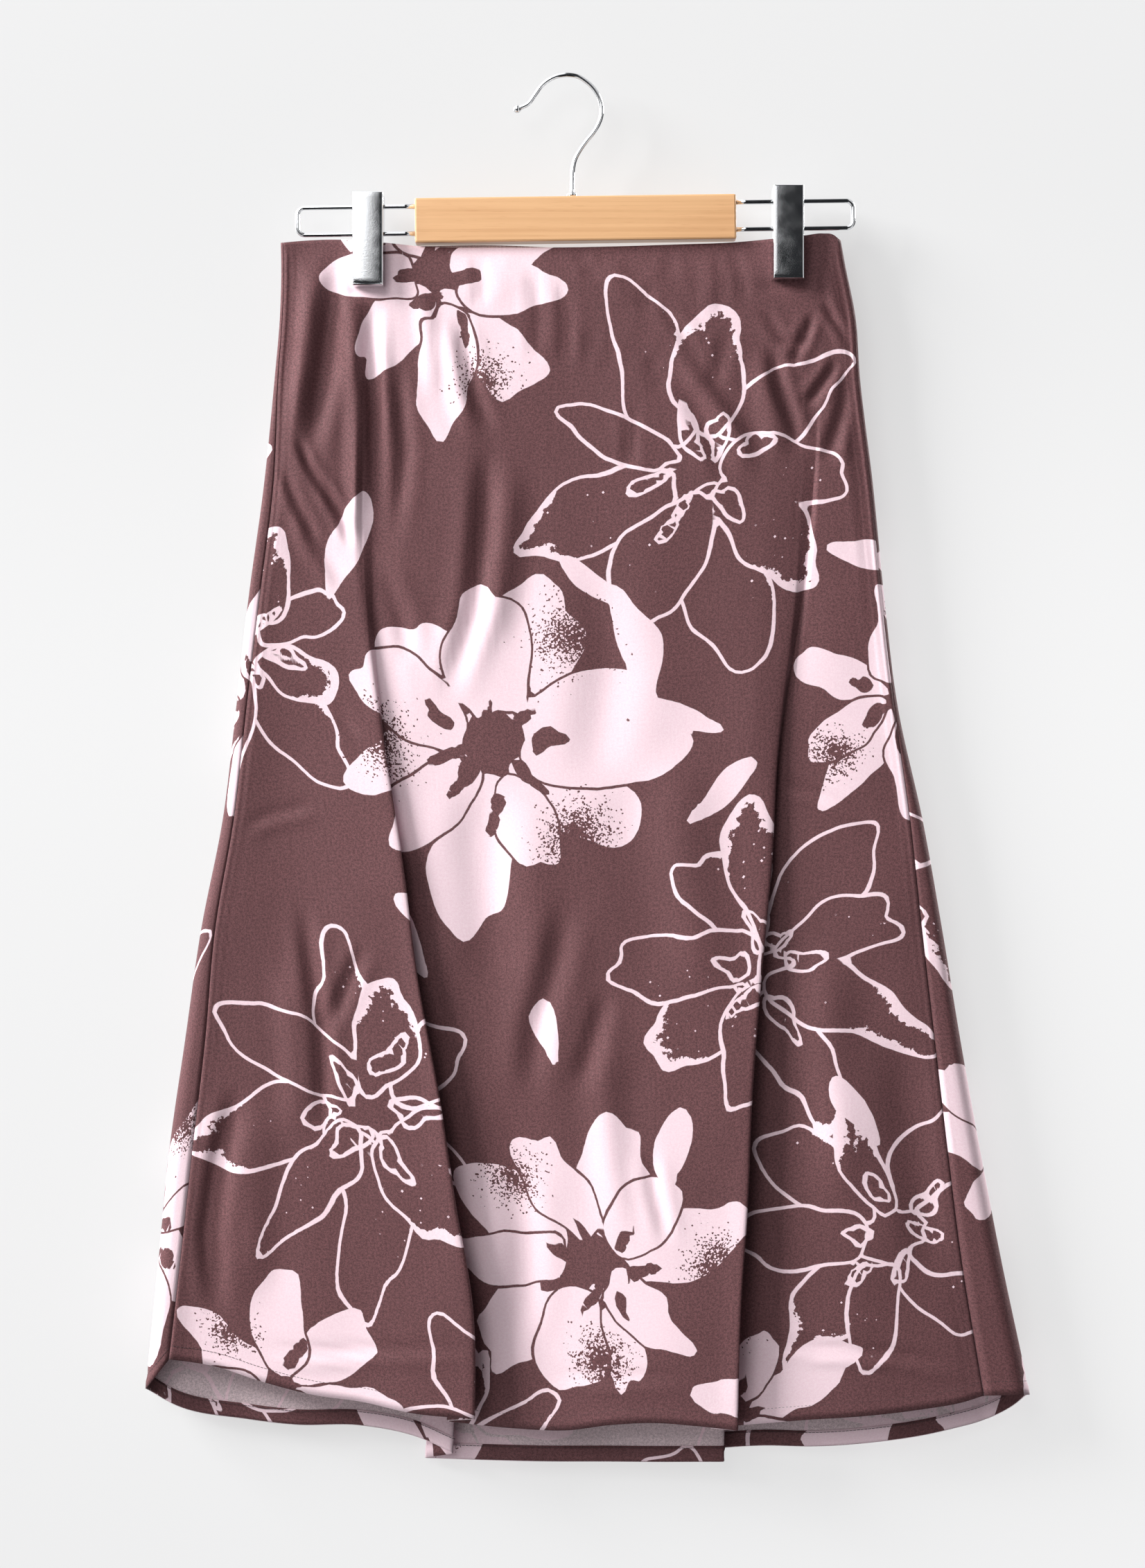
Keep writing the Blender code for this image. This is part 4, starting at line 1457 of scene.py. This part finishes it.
@dataclass(frozen=True)
class ClothFinish:
    """Printed viscose: its ground, its print and how both vary."""

    name: str  # the material's name
    ground: Colour  # the dyed ground
    ground_dark: Colour  # the ground's dark speckles
    print_colour: Colour  # the blossoms' colour
    print_dark: Colour  # their shaded threads
    faintness: float = 0.0  # how much of the print is lost, as on the wrong side
    roughness: float = 0.7  # the cloth's roughness

    def build(self, group: bpy.types.NodeTree) -> Material:
        """The material, round the shared print group.

        Args:
            group: The print group.

        Returns:
            The finished material.
        """
        made, kit, shader = new_material(self.name)
        design = kit.node("ShaderNodeGroup", node_tree=group)
        speckle = kit.step(design.outputs["Speckle"], 0.38, 0.62)
        slub = kit.step(design.outputs["Slub"], 0.3, 0.75)
        cloud = kit.step(design.outputs["Cloud"], 0.3, 0.7)
        ground = kit.mix(speckle, self.ground_dark, self.ground)
        ground = kit.mix(kit.times(slub, 0.22), ground, self.ground_dark)
        ground = kit.mix(kit.times(cloud, 0.16), ground, self.ground_dark)
        threads = kit.plus(kit.times(speckle, 0.55), 0.45)
        pink = kit.mix(threads, self.print_dark, self.print_colour)
        share = kit.times(design.outputs["Pink"], 1 - self.faintness)
        fine = kit.bump(design.outputs["Weave"], 0.25, 0.00012)
        crepe = kit.bump(design.outputs["Speckle"], 0.22, 0.0005, fine)
        inputs = {
            "Base Color": kit.mix(share, ground, pink),
            "Roughness": kit.plus(kit.times(slub, 0.1), self.roughness - 0.05),
            "Sheen Weight": 0.06,
            "Sheen Roughness": 0.45,
            "Specular IOR Level": 0.3,
            "Normal": kit.bump(design.outputs["Slub"], 0.18, 0.0004, crepe),
        }
        kit.fill(shader, inputs)
        return made


@dataclass(frozen=True)
class WoodFinish:
    """Pale lacquered wood with a fine grain along the bar."""

    name: str  # the material's name
    light: Colour  # early wood
    dark: Colour  # late wood and pores
    grain: float  # grain lines to the metre, along Z and Y

    def build(self) -> Material:
        """The material: stretched noise for the grain, fine pores, and a satin lacquer.

        Returns:
            The finished material.
        """
        made, kit, shader = new_material(self.name)
        place = kit.place()
        bands = kit.noise(kit.stretched(place, (3.0, self.grain, self.grain)), 1.0, 4.0, 0.6)
        pores = kit.noise(kit.stretched(place, (60.0, 1600.0, 1600.0)), 1.0, 2.0, 0.6)
        clouds = kit.noise(kit.stretched(place, (9.0, 30.0, 30.0)), 1.0, 2.0, 0.5)
        late = kit.times(kit.step(bands, 0.35, 0.72), 0.55)
        share = kit.plus(late, kit.times(kit.step(clouds, 0.35, 0.7), 0.25))
        dots = kit.times(kit.step(pores, 0.58, 0.72), 0.3)
        share = kit.math("ADD", share, dots, clamp=True)
        inputs = {
            "Base Color": kit.mix(share, self.light, self.dark),
            "Roughness": kit.plus(kit.times(share, 0.12), 0.36),
            "Coat Weight": 0.25,
            "Coat Roughness": 0.2,
            "Normal": kit.bump(pores, 0.12, 0.0002),
        }
        kit.fill(shader, inputs)
        return made


@dataclass(frozen=True)
class ChromeFinish:
    """Chrome plate, a little hazed by handling."""

    name: str  # the material's name
    tint: Colour  # the metal's colour
    roughness: float  # its roughness where it is clean
    haze: float  # added roughness where it is handled
    peel: float  # strength of the plating's fine orange peel

    def build(self) -> Material:
        """The material: metal with patches of haze and a fine orange peel.

        Returns:
            The finished material.
        """
        made, kit, shader = new_material(self.name)
        place = kit.place()
        patches = kit.step(kit.noise(place, 90.0, 3.0, 0.6), 0.3, 0.8)
        peel = kit.noise(place, 1500.0, 2.0, 0.5)
        handled = (0.62, 0.63, 0.65, 1.0)
        inputs = {
            "Base Color": kit.mix(kit.times(patches, 0.12), self.tint, handled),
            "Metallic": 1.0,
            "Roughness": kit.plus(kit.times(patches, self.haze), self.roughness),
            "Normal": kit.bump(peel, self.peel, 0.0001),
        }
        kit.fill(shader, inputs)
        return made


@dataclass(frozen=True)
class ThreadFinish:
    """Sewing thread with the twist of its plies."""

    name: str  # the material's name
    colour: Colour  # the thread's colour

    def build(self) -> Material:
        """The material: the thread's colour broken up by a fine twist.

        Returns:
            The finished material.
        """
        made, kit, shader = new_material(self.name)
        place = kit.place()
        twist = kit.noise(place, 2600.0, 1.0, 0.5)
        dark = tuple(part * 0.5 for part in self.colour[:3]) + (1.0,)
        colour, normal = kit.mix(twist, dark, self.colour), kit.bump(twist, 0.3, 0.0001)
        kit.fill(shader, {"Base Color": colour, "Roughness": 0.6, "Normal": normal})
        return made


@dataclass
class Stitching:
    """A row of straight stitches laid on a line of the cloth."""

    name: str  # the piece's name
    pitch: float = 2.4  # length of one stitch with its gap, in millimetres
    length: float = 1.9  # length of the thread that shows
    width: float = 0.34  # width of the thread
    thick: float = 0.11  # half its thickness
    rise: Pair = (-0.12, 0.1)  # heights of its sunk ends and its middle over the cloth

    def build(self, line: Array, normals: Array, finish: Material) -> Piece:
        """Stitches at even steps along a line: each a flat six-sided bar, sunk at its ends.

        Args:
            line: Points along the row, on the cloth's surface.
            normals: The surface's normals there.
            finish: The thread's material.

        Returns:
            The finished piece.
        """
        run = np.concatenate([[0.0], np.cumsum(np.linalg.norm(np.diff(line, axis=0), axis=1))])
        middles = np.arange(self.pitch, run[-1] - self.pitch, self.pitch)
        steps = np.array([-0.5, -0.3, 0.3, 0.5]) * self.length
        at = middles[:, None] + steps[None, :]
        places = np.stack([np.interp(at, run, line[:, axis]) for axis in range(3)], axis=-1)
        ups = unit(np.stack([np.interp(at, run, normals[:, axis]) for axis in range(3)], axis=-1))
        ways = unit(np.gradient(places, axis=1))
        sides = np.cross(ways, ups)
        sunk, high = self.rise
        centre = places + np.array([sunk, high, high, sunk])[None, :, None] * ups
        half, thick = self.width / 2, self.thick
        upper = [(half, 0.0), (half / 2, thick), (-half / 2, thick)]
        corners = upper + [(-half, 0.0), (-half / 2, -thick), (half / 2, -thick)]
        rings = np.stack([centre + sides * a + ups * b for a, b in corners], axis=2)
        index = np.arange(rings[..., 0].size).reshape(rings.shape[:-1])
        around = np.roll(index, -1, axis=2)
        quads = np.stack([index[:, :-1], index[:, 1:], around[:, 1:], around[:, :-1]], axis=-1)
        near, far = index[:, 0], index[:, 3]
        ends = [near[:, [0, 1, 2, 3]], near[:, [0, 3, 4, 5]]]
        ends += [far[:, [0, 3, 2, 1]], far[:, [0, 5, 4, 3]]]
        faces = np.concatenate([quads.reshape(-1, 4)] + ends)
        made = new_mesh(self.name, rings.reshape(-1, 3), faces)
        made.data.materials.append(finish)
        return made


@dataclass
class Skirt:
    """The skirt: two panels, their turned-up hems and the stitching that holds them."""

    thickness: float = 0.5  # the cloth's thickness
    hem_depth: float = 10.0  # how far the hem is turned up
    hem_short: float = 0.4  # how far the turned strip ends above the hem's edge
    hem_gap: float = 0.12  # gap between the strip and the panel's inner face
    hem_thin: float = 0.8  # the strip's thickness, in shares of the cloth's
    hem_print: Pair = (37.0, 20.0)  # how far the print is moved across and down on the strip
    hem_rows: int = 6  # steps down the strip
    stitch_step: float = 0.004  # shares of the length between the rows that the stitches' line is read from
    # how far stitches lie off the cloth outside, and off the strip inside
    stitch_stand: Pair = (0.05, 0.17)

    def form(self) -> SkirtForm:
        """The form that both panels are read from.
        """
        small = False
        rows = 120 if small else 216
        counts = {"wrap": 7, "left": 56, "lap": 12, "middle": 62, "right": 54}
        if small:
            counts = {name: max(6, number * 2 // 3) for name, number in counts.items()}
        return SkirtForm(rows, counts)

    def dress(self, face: Material, wrong: Material, thread: Material) -> None:
        """Builds both panels with their hems and stitches, and hides the nodes that they replace.

        Args:
            face, wrong: The printed side's and the wrong side's materials.
            thread: The stitches' finish.
        """
        form = self.form()
        designs = {
            Panel.FRONT: BlossomPrint(FRONT_BLOSSOMS, LOOSE_PETALS),
            Panel.BACK: BlossomPrint(BACK_BLOSSOMS, LOOSE_PETALS[3:]),
        }
        even = np.linspace(0.0, 1.0, form.rows)
        downs = 0.62 * even + 0.38 * even**2
        for panel, design in designs.items():
            name = panel.value
            grid = form.grid(panel, downs)
            shell = ClothShell(f"{name}_cloth", grid, self.thickness, panel is Panel.FRONT)
            cloth = shell.build(face, wrong, design)
            hem = self.hem(panel, form, face, wrong, design)
            stitches = self.stitches(panel, form, thread)
            placed(cloth, "cloth", f"{name}_panel")
            placed(hem, "cloth", *(f"{name}_hem_{part}" for part in ("left", "middle", "right")))
            for piece in stitches:
                placed(piece, "cloth")

    def hem(
        self, panel: Panel, form: SkirtForm, face: Material, wrong: Material, design: BlossomPrint
    ) -> Piece:
        """The turned-up strip: the panel's lowest rows moved inside, printed face inwards.

        Args:
            panel: Which panel.
            form: The skirt's form.
            face, wrong: The printed side's and the wrong side's materials.
            design: The panel's print.

        Returns:
            The finished strip.
        """
        high, low = 1 - self.hem_depth / form.length, 1.0 - self.hem_short / form.length
        grid = form.grid(panel, np.linspace(high, low, self.hem_rows))
        inwards = -panel.outwards
        points = grid.points + grid.facing * inwards * (self.thickness + self.hem_gap)
        whole = form.grid(panel, np.array([0.0, high])).flat[1:, :, 1:]
        across, down = self.hem_print
        mirrored = [grid.flat[..., 0] + across, whole[..., 0] + down - grid.flat[..., 1]]
        strip = Grid(points, grid.facing, np.stack(mirrored, axis=-1))
        thin = self.thickness * self.hem_thin
        shell = ClothShell(f"{panel.value}_hem_cloth", strip, thin, panel is Panel.BACK)
        return shell.build(face, wrong, design)

    def stitches(self, panel: Panel, form: SkirtForm, thread: Material) -> list[Piece]:
        """The hem's stitching, on the outside and, where it shows, on the inside.

        Args:
            panel: Which panel.
            form: The skirt's form.
            thread: The stitches' finish.

        Returns:
            The rows of stitches.
        """
        at = 1 - form.sewing.stitch_height / form.length
        grid = form.grid(panel, np.array([at - self.stitch_step, at, at + self.stitch_step]))
        middle, facing = grid.points[1], grid.facing[1]
        outer_stand, inner_stand = self.stitch_stand
        outer = middle + facing * panel.outwards * (self.thickness / 2 + outer_stand)
        name = f"{panel.value}_hem_stitches"
        made = [Stitching(name).build(outer, facing * panel.outwards, thread)]
        if panel is Panel.BACK:
            inside = middle + facing * (self.thickness * 1.9 + inner_stand)
            made.append(Stitching("back_hem_inner_stitches").build(inside, facing, thread))
        return made


HOOK_ROUTE: Table = (  # x, z
    (-34, -19.6), (-29.4, -17.4), (-24.7, -11.5), (-20.7, -5.9), (-16.7, -2.4), (-12, 0.1),
    (-7.2, 1.3), (-2.5, 1.5), (3.1, 0.4), (7.8, -2.4), (12.6, -6.7), (16.2, -12.3), (18, -18.6),
    (18, -24.2), (16.2, -29.7), (12.6, -35.7), (7.8, -41.6), (3.9, -47.2), (1.1, -52.7),
    (-0.3, -59.1), (-0.6, -66), (-0.7, -72),
)


def swept_tube(name: str, route: Array, radii: Array, sides: int = 20) -> Piece:
    """A round wire along a route in the plane y = 0.

    Each ring is centre + r (cos a N + sin a Y), with N at right angles to the route in its plane.
    The two ends close in a last ring of almost no radius.

    Args:
        name: The piece's name.
        route: Points (x, z), in millimetres.
        radii: The radius at each.
        sides: Points round a ring.

    Returns:
        The tube.
    """
    ways = unit(np.gradient(route, axis=0))
    normals = np.stack([ways[:, 1], -ways[:, 0]], axis=-1)
    angles = np.arange(sides) * 2 * math.pi / sides
    x = route[:, 0, None] + radii[:, None] * np.cos(angles) * normals[:, 0, None]
    z = route[:, 1, None] + radii[:, None] * np.cos(angles) * normals[:, 1, None]
    y = radii[:, None] * np.sin(angles) + np.zeros_like(x)
    points = np.stack([x, y, z], axis=-1)
    rings = len(route)
    index = np.arange(rings * sides).reshape(rings, sides)
    around = np.roll(index, -1, axis=1)
    quads = np.stack([index[:-1], around[:-1], around[1:], index[1:]], axis=-1).reshape(-1, 4)
    half = sides // 2
    steps = np.arange(half - 1)
    cap = np.stack([sides - 1 - steps, sides - 2 - steps, steps + 1, steps], axis=-1)
    faces = np.concatenate([quads, cap, (cap + (rings - 1) * sides)[:, ::-1]])
    return new_mesh(name, points.reshape(-1, 3), faces)


@dataclass
class Hanger:
    """The clip hanger: its wood bar, hook, wire rails and clips."""

    tilt: float = math.radians(0.75)  # how far it hangs askew, right end up, in radians
    bar_centre: Pair = (1.4, -91.2)  # the bar's middle
    bar_length: float = 205.0  # its length
    bar_height: float = 28.6  # its height
    wire: float = 1.5  # radius of the wires
    rail_half: float = 177.6  # half the rail's length
    rail_spread: float = 8.7  # half the distance between its wires
    rail_height: float = -90.0  # height of its middle line
    rail_corner: float = 4.5  # radius of its corners
    ball: float = 2.5  # radius of the hook's ball end
    collar: Pair = (3.4, 2.2)  # radius and height of the collar on the bar
    seam_gap: float = 0.3  # gap between the wires and the wood
    clip_size: Pair = (19.4, 59.4)  # width and height of a clip's front
    clip_front: float = -12.0  # y where it stands
    clip_cover: Pair = (0.03, 0.05)  # how far its dressed face reaches past it on every side, and before it
    clip_crown: float = 0.25  # how far its face bulges
    clip_roll: float = 1.0  # radius of its rolled edges
    clip_lip: Pair = (2.4, 0.45)  # radius of the lip below, and how much of that it drops
    clip_deep: float = 0.92  # the most that an edge drops, in shares of the roll

    def bar_top(self, x: float) -> float:
        """z of the bar's top face at x."""
        middle = self.bar_centre[1] + self.bar_height / 2 / math.cos(self.tilt)
        return middle + (x - self.bar_centre[0]) * math.tan(self.tilt)

    def hook(self) -> Piece:
        """The hook: a ball end, the bend, the neck and a collar, as one turned wire.

        Returns:
            The finished wire.
        """
        rows = np.array(HOOK_ROUTE)
        run = np.r_[0.0, np.cumsum(np.hypot(*np.diff(rows, axis=0).T))]
        at = np.linspace(0.0, run[-1], 150)
        x = smooth(tuple(zip(run, rows[:, 0])), 1, at)
        z = smooth(tuple(zip(run, rows[:, 1])), 1, at)
        route = np.stack([x, z], axis=-1)
        away = unit(route[:1] - route[1:2])[0]
        angles = np.linspace(0.03, 0.80, 14)[:, None] * math.pi
        ball = route[0] + away * (self.ball * (0.8 + np.cos(angles)))
        ball_radii = self.ball * np.sin(angles[:, 0])
        foot = self.bar_top(route[-1, 0]) + self.seam_gap
        wide, tall = self.collar
        rise = np.array([tall + 0.5, tall + 0.1, tall - 0.3, 0.5, 0.0])
        sizes = np.array([self.wire, wide - 0.5, wide, wide, wide - 0.4])
        neck = np.stack([np.full(len(rise), route[-1, 0]), foot + rise], axis=-1)
        whole = np.concatenate([ball, route, neck])
        radii = np.concatenate([ball_radii, np.full(len(route), self.wire), sizes])
        return swept_tube("hook_wire", whole, radii, 24)

    def rail(self, name: str, sign: int) -> Piece:
        """One end loop of the rail: two wires out of the bar's end, joined by a rounded end.

        Args:
            name: The piece's name.
            sign: -1 for the left end, 1 for the right.

        Returns:
            The finished wire.
        """
        root = self.bar_length / 2 + self.seam_gap
        corner = self.rail_corner
        turn, inner = self.rail_half - corner, self.rail_spread - corner
        quarter = np.linspace(0.0, math.pi / 2, 14)
        bend = np.stack([turn + corner * np.sin(quarter), inner + corner * np.cos(quarter)], axis=-1)
        reach = np.linspace(root, turn, 12)[:-1]
        straight = np.stack([reach, np.full(len(reach), self.rail_spread)], axis=-1)
        upper = np.concatenate([straight, bend])
        path = np.concatenate([upper, upper[::-1] * (1, -1)]) * (sign, 1)
        if sign < 0:
            path = path[::-1]
        cosine, sine = math.cos(self.tilt), math.sin(self.tilt)
        x = path[:, 0] * cosine - path[:, 1] * sine + self.bar_centre[0]
        z = path[:, 0] * sine + path[:, 1] * cosine + self.rail_height
        return swept_tube(name, np.stack([x, z], axis=-1), np.full(len(x), self.wire))

    @staticmethod
    def rolled(distance: Array, radius: float) -> Array:
        """How far a rolled edge drops at a distance in from it: r (1 - sqrt(1 - (1 - d/r)^2))."""
        near = 1 - np.clip(distance / radius, 0.0, 1.0)
        return radius * (1 - np.sqrt(np.clip(1 - near**2, 0.0, 1.0)))

    @staticmethod
    def steps(low: float, high: float, first: float, last: float, inner: int) -> Array:
        """Places from low to high, close together within the first and the last reach.

        Args:
            low, high: The first and the last place.
            first, last: Reach of the close steps at the start, and at the end.
            inner: How many places lie between those, with both.

        Returns:
            The places.
        """
        turn = 1 - np.cos(np.linspace(0.0, math.pi / 2, 7))
        start, finish = low + first * turn, high - last * turn[::-1]
        return np.concatenate([start, np.linspace(start[-1], finish[0], inner)[1:-1], finish])

    def clip_face(self, name: str, clip: ClipPlace) -> Piece:
        """A clip's pressed front: crowned across, with rolled edges and a lip bent back below.

        A grid of points with the close steps at the rolled edges; its flat rear lies within the
        tray's own sheet. The crown is c (1 - (x / half)^2).

        Args:
            name: The piece's name.
            clip: Where the clip is.

        Returns:
            The finished face.
        """
        cover, before = self.clip_cover
        half, tall = self.clip_size[0] / 2 + cover, self.clip_size[1] + 2 * cover
        roll = self.clip_roll
        lip, share = self.clip_lip
        columns = self.steps(-half, half, roll, roll, 12)
        across, down = np.meshgrid(columns, self.steps(0.0, tall, roll, lip, 26))
        drop = np.maximum(self.rolled(half - np.abs(across), roll), self.rolled(down, roll))
        drop = np.maximum(drop, self.rolled(tall - down, lip) * share)
        drop = np.clip(drop, 0.0, roll * self.clip_deep)
        face = self.clip_front - before - self.clip_crown * (1 - (across / half) ** 2) + drop
        front = np.stack([clip.middle + across, face, clip.top + cover - down], axis=-1)
        rear = front.copy()
        rear[..., 1] = self.clip_front + roll
        return new_mesh(name, *closed_shell(front, rear))

    def dress(self, wood: Material, chrome: Material, plate: Material) -> None:
        """Adds the round wires and the clips' faces, and gives each carried-over node its finish.

        Args:
            wood: The bar's finish.
            chrome: The wires'.
            plate: The clips'.
        """
        wires = {
            "hook": self.hook(),
            "rail_left": self.rail("rail_left_wire", -1),
            "rail_right": self.rail("rail_right_wire", 1),
        }
        for node, piece in wires.items():
            piece.data.materials.append(chrome)
            placed(piece, "chrome", node)
            LOG.info("%s replaces %s", piece.name, node)
        finishes = {"wood_bar": wood}
        for side, clip in CLIPS.items():
            face = self.clip_face(f"{side}_clip_face", clip)
            face.data.materials.append(plate)
            placed(face, "chrome")
            LOG.info("%s added", face.name)
            finishes[f"{side}_clip_tray"] = plate
            finishes[f"{side}_clip_plate"] = plate
        for node, finish in finishes.items():
            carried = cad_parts[node]
            carried.data.materials.clear()
            carried.data.materials.append(finish)
            LOG.info("%s dressed", node)


@dataclass(frozen=True)
class SoftLight:
    """A square soft light, turned to a point on the skirt's middle line."""

    name: str  # the light's name
    place: Triple  # where it hangs, in metres
    aim: float  # height of the point that it is turned to
    size: float  # its side
    watts: float  # its power

    def build(self) -> None:
        """Hangs the light in the scene."""
        data = bpy.data.lights.new(self.name, "AREA")
        data.size = self.size
        data.energy = self.watts
        made = bpy.data.objects.new(self.name, data)
        made.location = self.place
        way = Vector((0.0, 0.0, self.aim)) - Vector(self.place)
        made.rotation_euler = way.to_track_quat("-Z", "Y").to_euler()
        bpy.context.scene.collection.objects.link(made)


LIGHTS: tuple[SoftLight, ...] = (
    SoftLight("key", (-2.9, -1.2, 1.4), -0.35, 1.45, 215.0),
    SoftLight("fill", (-1.0, -2.5, 1.0), -0.4, 1.3, 20.0),
    SoftLight("back_fill", (-1.5, 1.7, 0.4), -0.45, 1.2, 14.0),
    SoftLight("back_key", (2.1, 1.15, 0.9), -0.45, 1.2, 88.0),
)


@dataclass
class Studio:
    """The pale studio: a wall behind, a floor, soft light, and the camera."""

    lens: float = 70.0  # the camera's focal length in millimetres, on a sensor whose long side is sensor
    sensor: float = 36.0  # the sensor's long side
    aside: float = -0.0005  # how far the camera stands from the middle, in metres
    wall_depth: float = 0.023  # how far the wall stands behind the plane y = 0, in metres
    floor_height: float = -1.02  # the floor's height in metres
    matt: Colour = (0.28, 0.28, 0.28, 1.0)  # the backdrop's own colour
    # how brightly it glows in the middle, and how much that grows a metre to the right
    glow: Pair = (0.62, 0.11)
    dusk: float = 0.08  # how much less it glows above the skirt
    pale: Colour = (1.5, 1.5, 1.52, 1.0)  # what mirrors see of the studio
    dim: Colour = (0.04, 0.042, 0.046, 1.0)  # the dark room in it
    box: Colour = (2.6, 2.6, 2.65, 1.0)  # the soft box in it
    lit: Colour = (1.75, 1.76, 1.80, 1.0)  # what lights the cloth from the left
    shaded: Colour = (0.14, 0.14, 0.15, 1.0)  # the same from the right
    rear: Colour = (1.72, 1.72, 1.72, 1.0)  # what a camera ray that meets nothing sees

    def camera(self) -> None:
        """The camera, level with the skirt's middle, looking straight at it."""
        data = bpy.data.cameras.new("camera")
        data.lens = self.lens
        data.sensor_fit = "AUTO"
        data.sensor_width = self.sensor
        made = bpy.data.objects.new("camera", data)
        made.location = (self.aside, -VIEW_DISTANCE * MM, VIEW_HEIGHT * MM)
        made.rotation_euler = (math.pi / 2, 0.0, 0.0)
        bpy.context.scene.collection.objects.link(made)
        bpy.context.scene.camera = made

    def backdrop_material(self) -> Material:
        """A matt, faintly glowing grey that only a camera ray from the front meets.

        So it never hides the skirt from behind, and neither shades nor lights it.

        Returns:
            The finished material.
        """
        made, kit, shader = new_material("backdrop_white")
        across, _, high = kit.parts(kit.place())
        middle, growth = self.glow
        glow = kit.plus(kit.times(across, growth), middle)
        glow = kit.less(glow, kit.times(kit.step(high, -0.45, 0.0), self.dusk))
        inputs = {
            "Base Color": self.matt,
            "Emission Color": (1.0, 1.0, 1.0, 1.0),
            "Emission Strength": glow,
            "Roughness": 0.95,
            "Specular IOR Level": 0.0,
        }
        kit.fill(shader, inputs)
        seen = kit.node("ShaderNodeLightPath").outputs["Is Camera Ray"]
        rear = kit.node("ShaderNodeNewGeometry").outputs["Backfacing"]
        share = kit.times(seen, kit.less(1.0, rear))
        clear = kit.node("ShaderNodeBsdfTransparent")
        inputs = {0: share, 1: clear.outputs[0], 2: shader.outputs[0]}
        blend = kit.node("ShaderNodeMixShader", inputs)
        output = made.node_tree.nodes["Material Output"]
        kit.put(output.inputs["Surface"], blend.outputs[0])
        return made

    def backdrop(self) -> None:
        """The wall and the floor, as one-sided planes that face the skirt."""
        finish = self.backdrop_material()
        wide, deep, tall = 4000.0, 4000.0, 3000.0
        wall_y = self.wall_depth / MM
        low = self.floor_height / MM
        foot = [[-wide, wall_y, low], [wide, wall_y, low]]
        wall = foot + [[wide, wall_y, tall], [-wide, wall_y, tall]]
        floor = [[-wide, -deep, low], [wide, -deep, low]] + foot[::-1]
        for name, corners in {"studio_wall": wall, "studio_floor": floor}.items():
            plane = new_mesh(name, np.array(corners), np.array([[0, 1, 2, 3]]), smoothly=False)
            plane.data.materials.append(finish)

    def world(self) -> None:
        """A world that lights the cloth from the left, with a studio of its own for mirrors.

        Mirrors see pale sides, a dim room and a dark slot on the viewer's side, dark at the far
        right, and a soft box high on the left. A camera ray that meets nothing sees plain white.
        """
        world = bpy.data.worlds.new("studio")
        bpy.context.scene.world = world
        world.use_nodes = True
        kit = NodeKit(world.node_tree)
        ground = world.node_tree.nodes["Background"]
        ground.inputs["Strength"].default_value = 0.5
        way = kit.node("ShaderNodeTexCoord").outputs["Generated"]
        across, deep, high = kit.parts(way)
        level = kit.times(kit.step(high, -0.62, -0.45), kit.step(high, 0.50, 0.36))
        room = kit.times(kit.step(deep, -0.55, -0.75), level)
        room = kit.times(room, kit.step(across, 0.55, 0.35))
        slot = kit.step(kit.math("ABSOLUTE", across), 0.30, 0.20)
        room = kit.most(room, kit.times(slot, kit.step(deep, 0.10, -0.15)))
        room = kit.most(room, kit.step(across, 0.80, 0.90))
        box = kit.times(kit.step(across, -0.015, -0.055), kit.step(high, 0.135, 0.185))
        rays = kit.node("ShaderNodeLightPath").outputs
        mirrored = kit.mix(box, kit.mix(room, self.pale, self.dim), self.box)
        lit = kit.mix(kit.step(across, 0.30, -0.75), self.shaded, self.lit)
        seen = kit.mix(rays["Is Glossy Ray"], lit, mirrored)
        kit.put(ground.inputs["Color"], kit.mix(rays["Is Camera Ray"], seen, self.rear))

    def build(self) -> None:
        """Makes the camera, the backdrop and the lights, and shows colours as they are."""
        bpy.context.scene.view_settings.view_transform = "Standard"
        self.camera()
        self.backdrop()
        self.world()
        for light in LIGHTS:
            light.build()


def main() -> None:
    """Builds the scene in order."""
    logging.basicConfig(level=logging.INFO, format="%(message)s")
    Studio().build()
    group = PrintGroup().build()
    face = ClothFinish(
        "printed_viscose",
        ground=(0.200, 0.082, 0.087, 1.0),
        ground_dark=(0.086, 0.035, 0.038, 1.0),
        print_colour=(0.98, 0.765, 0.82, 1.0),
        print_dark=(0.88, 0.62, 0.69, 1.0),
    ).build(group)
    wrong = ClothFinish(
        "viscose_wrong_side",
        ground=(0.95, 0.78, 0.80, 1.0),
        ground_dark=(0.58, 0.45, 0.47, 1.0),
        print_colour=(0.96, 0.72, 0.78, 1.0),
        print_dark=(0.84, 0.58, 0.65, 1.0),
        faintness=0.25,
        roughness=0.8,
    ).build(group)
    thread = ThreadFinish("brown_thread", (0.07, 0.035, 0.037, 1.0)).build()
    Skirt().dress(face, wrong, thread)
    beech, late_wood = (0.80, 0.47, 0.235, 1.0), (0.62, 0.32, 0.14, 1.0)
    wood = WoodFinish("lacquered_beech", beech, late_wood, 260.0).build()
    chrome = ChromeFinish("chrome_wire", (0.78, 0.79, 0.80, 1.0), 0.07, 0.05, 0.05).build()
    plate = ChromeFinish("chrome_plate", (0.84, 0.85, 0.86, 1.0), 0.10, 0.10, 0.16).build()
    Hanger().dress(wood, chrome, plate)


if __name__ == "__main__":
    main()
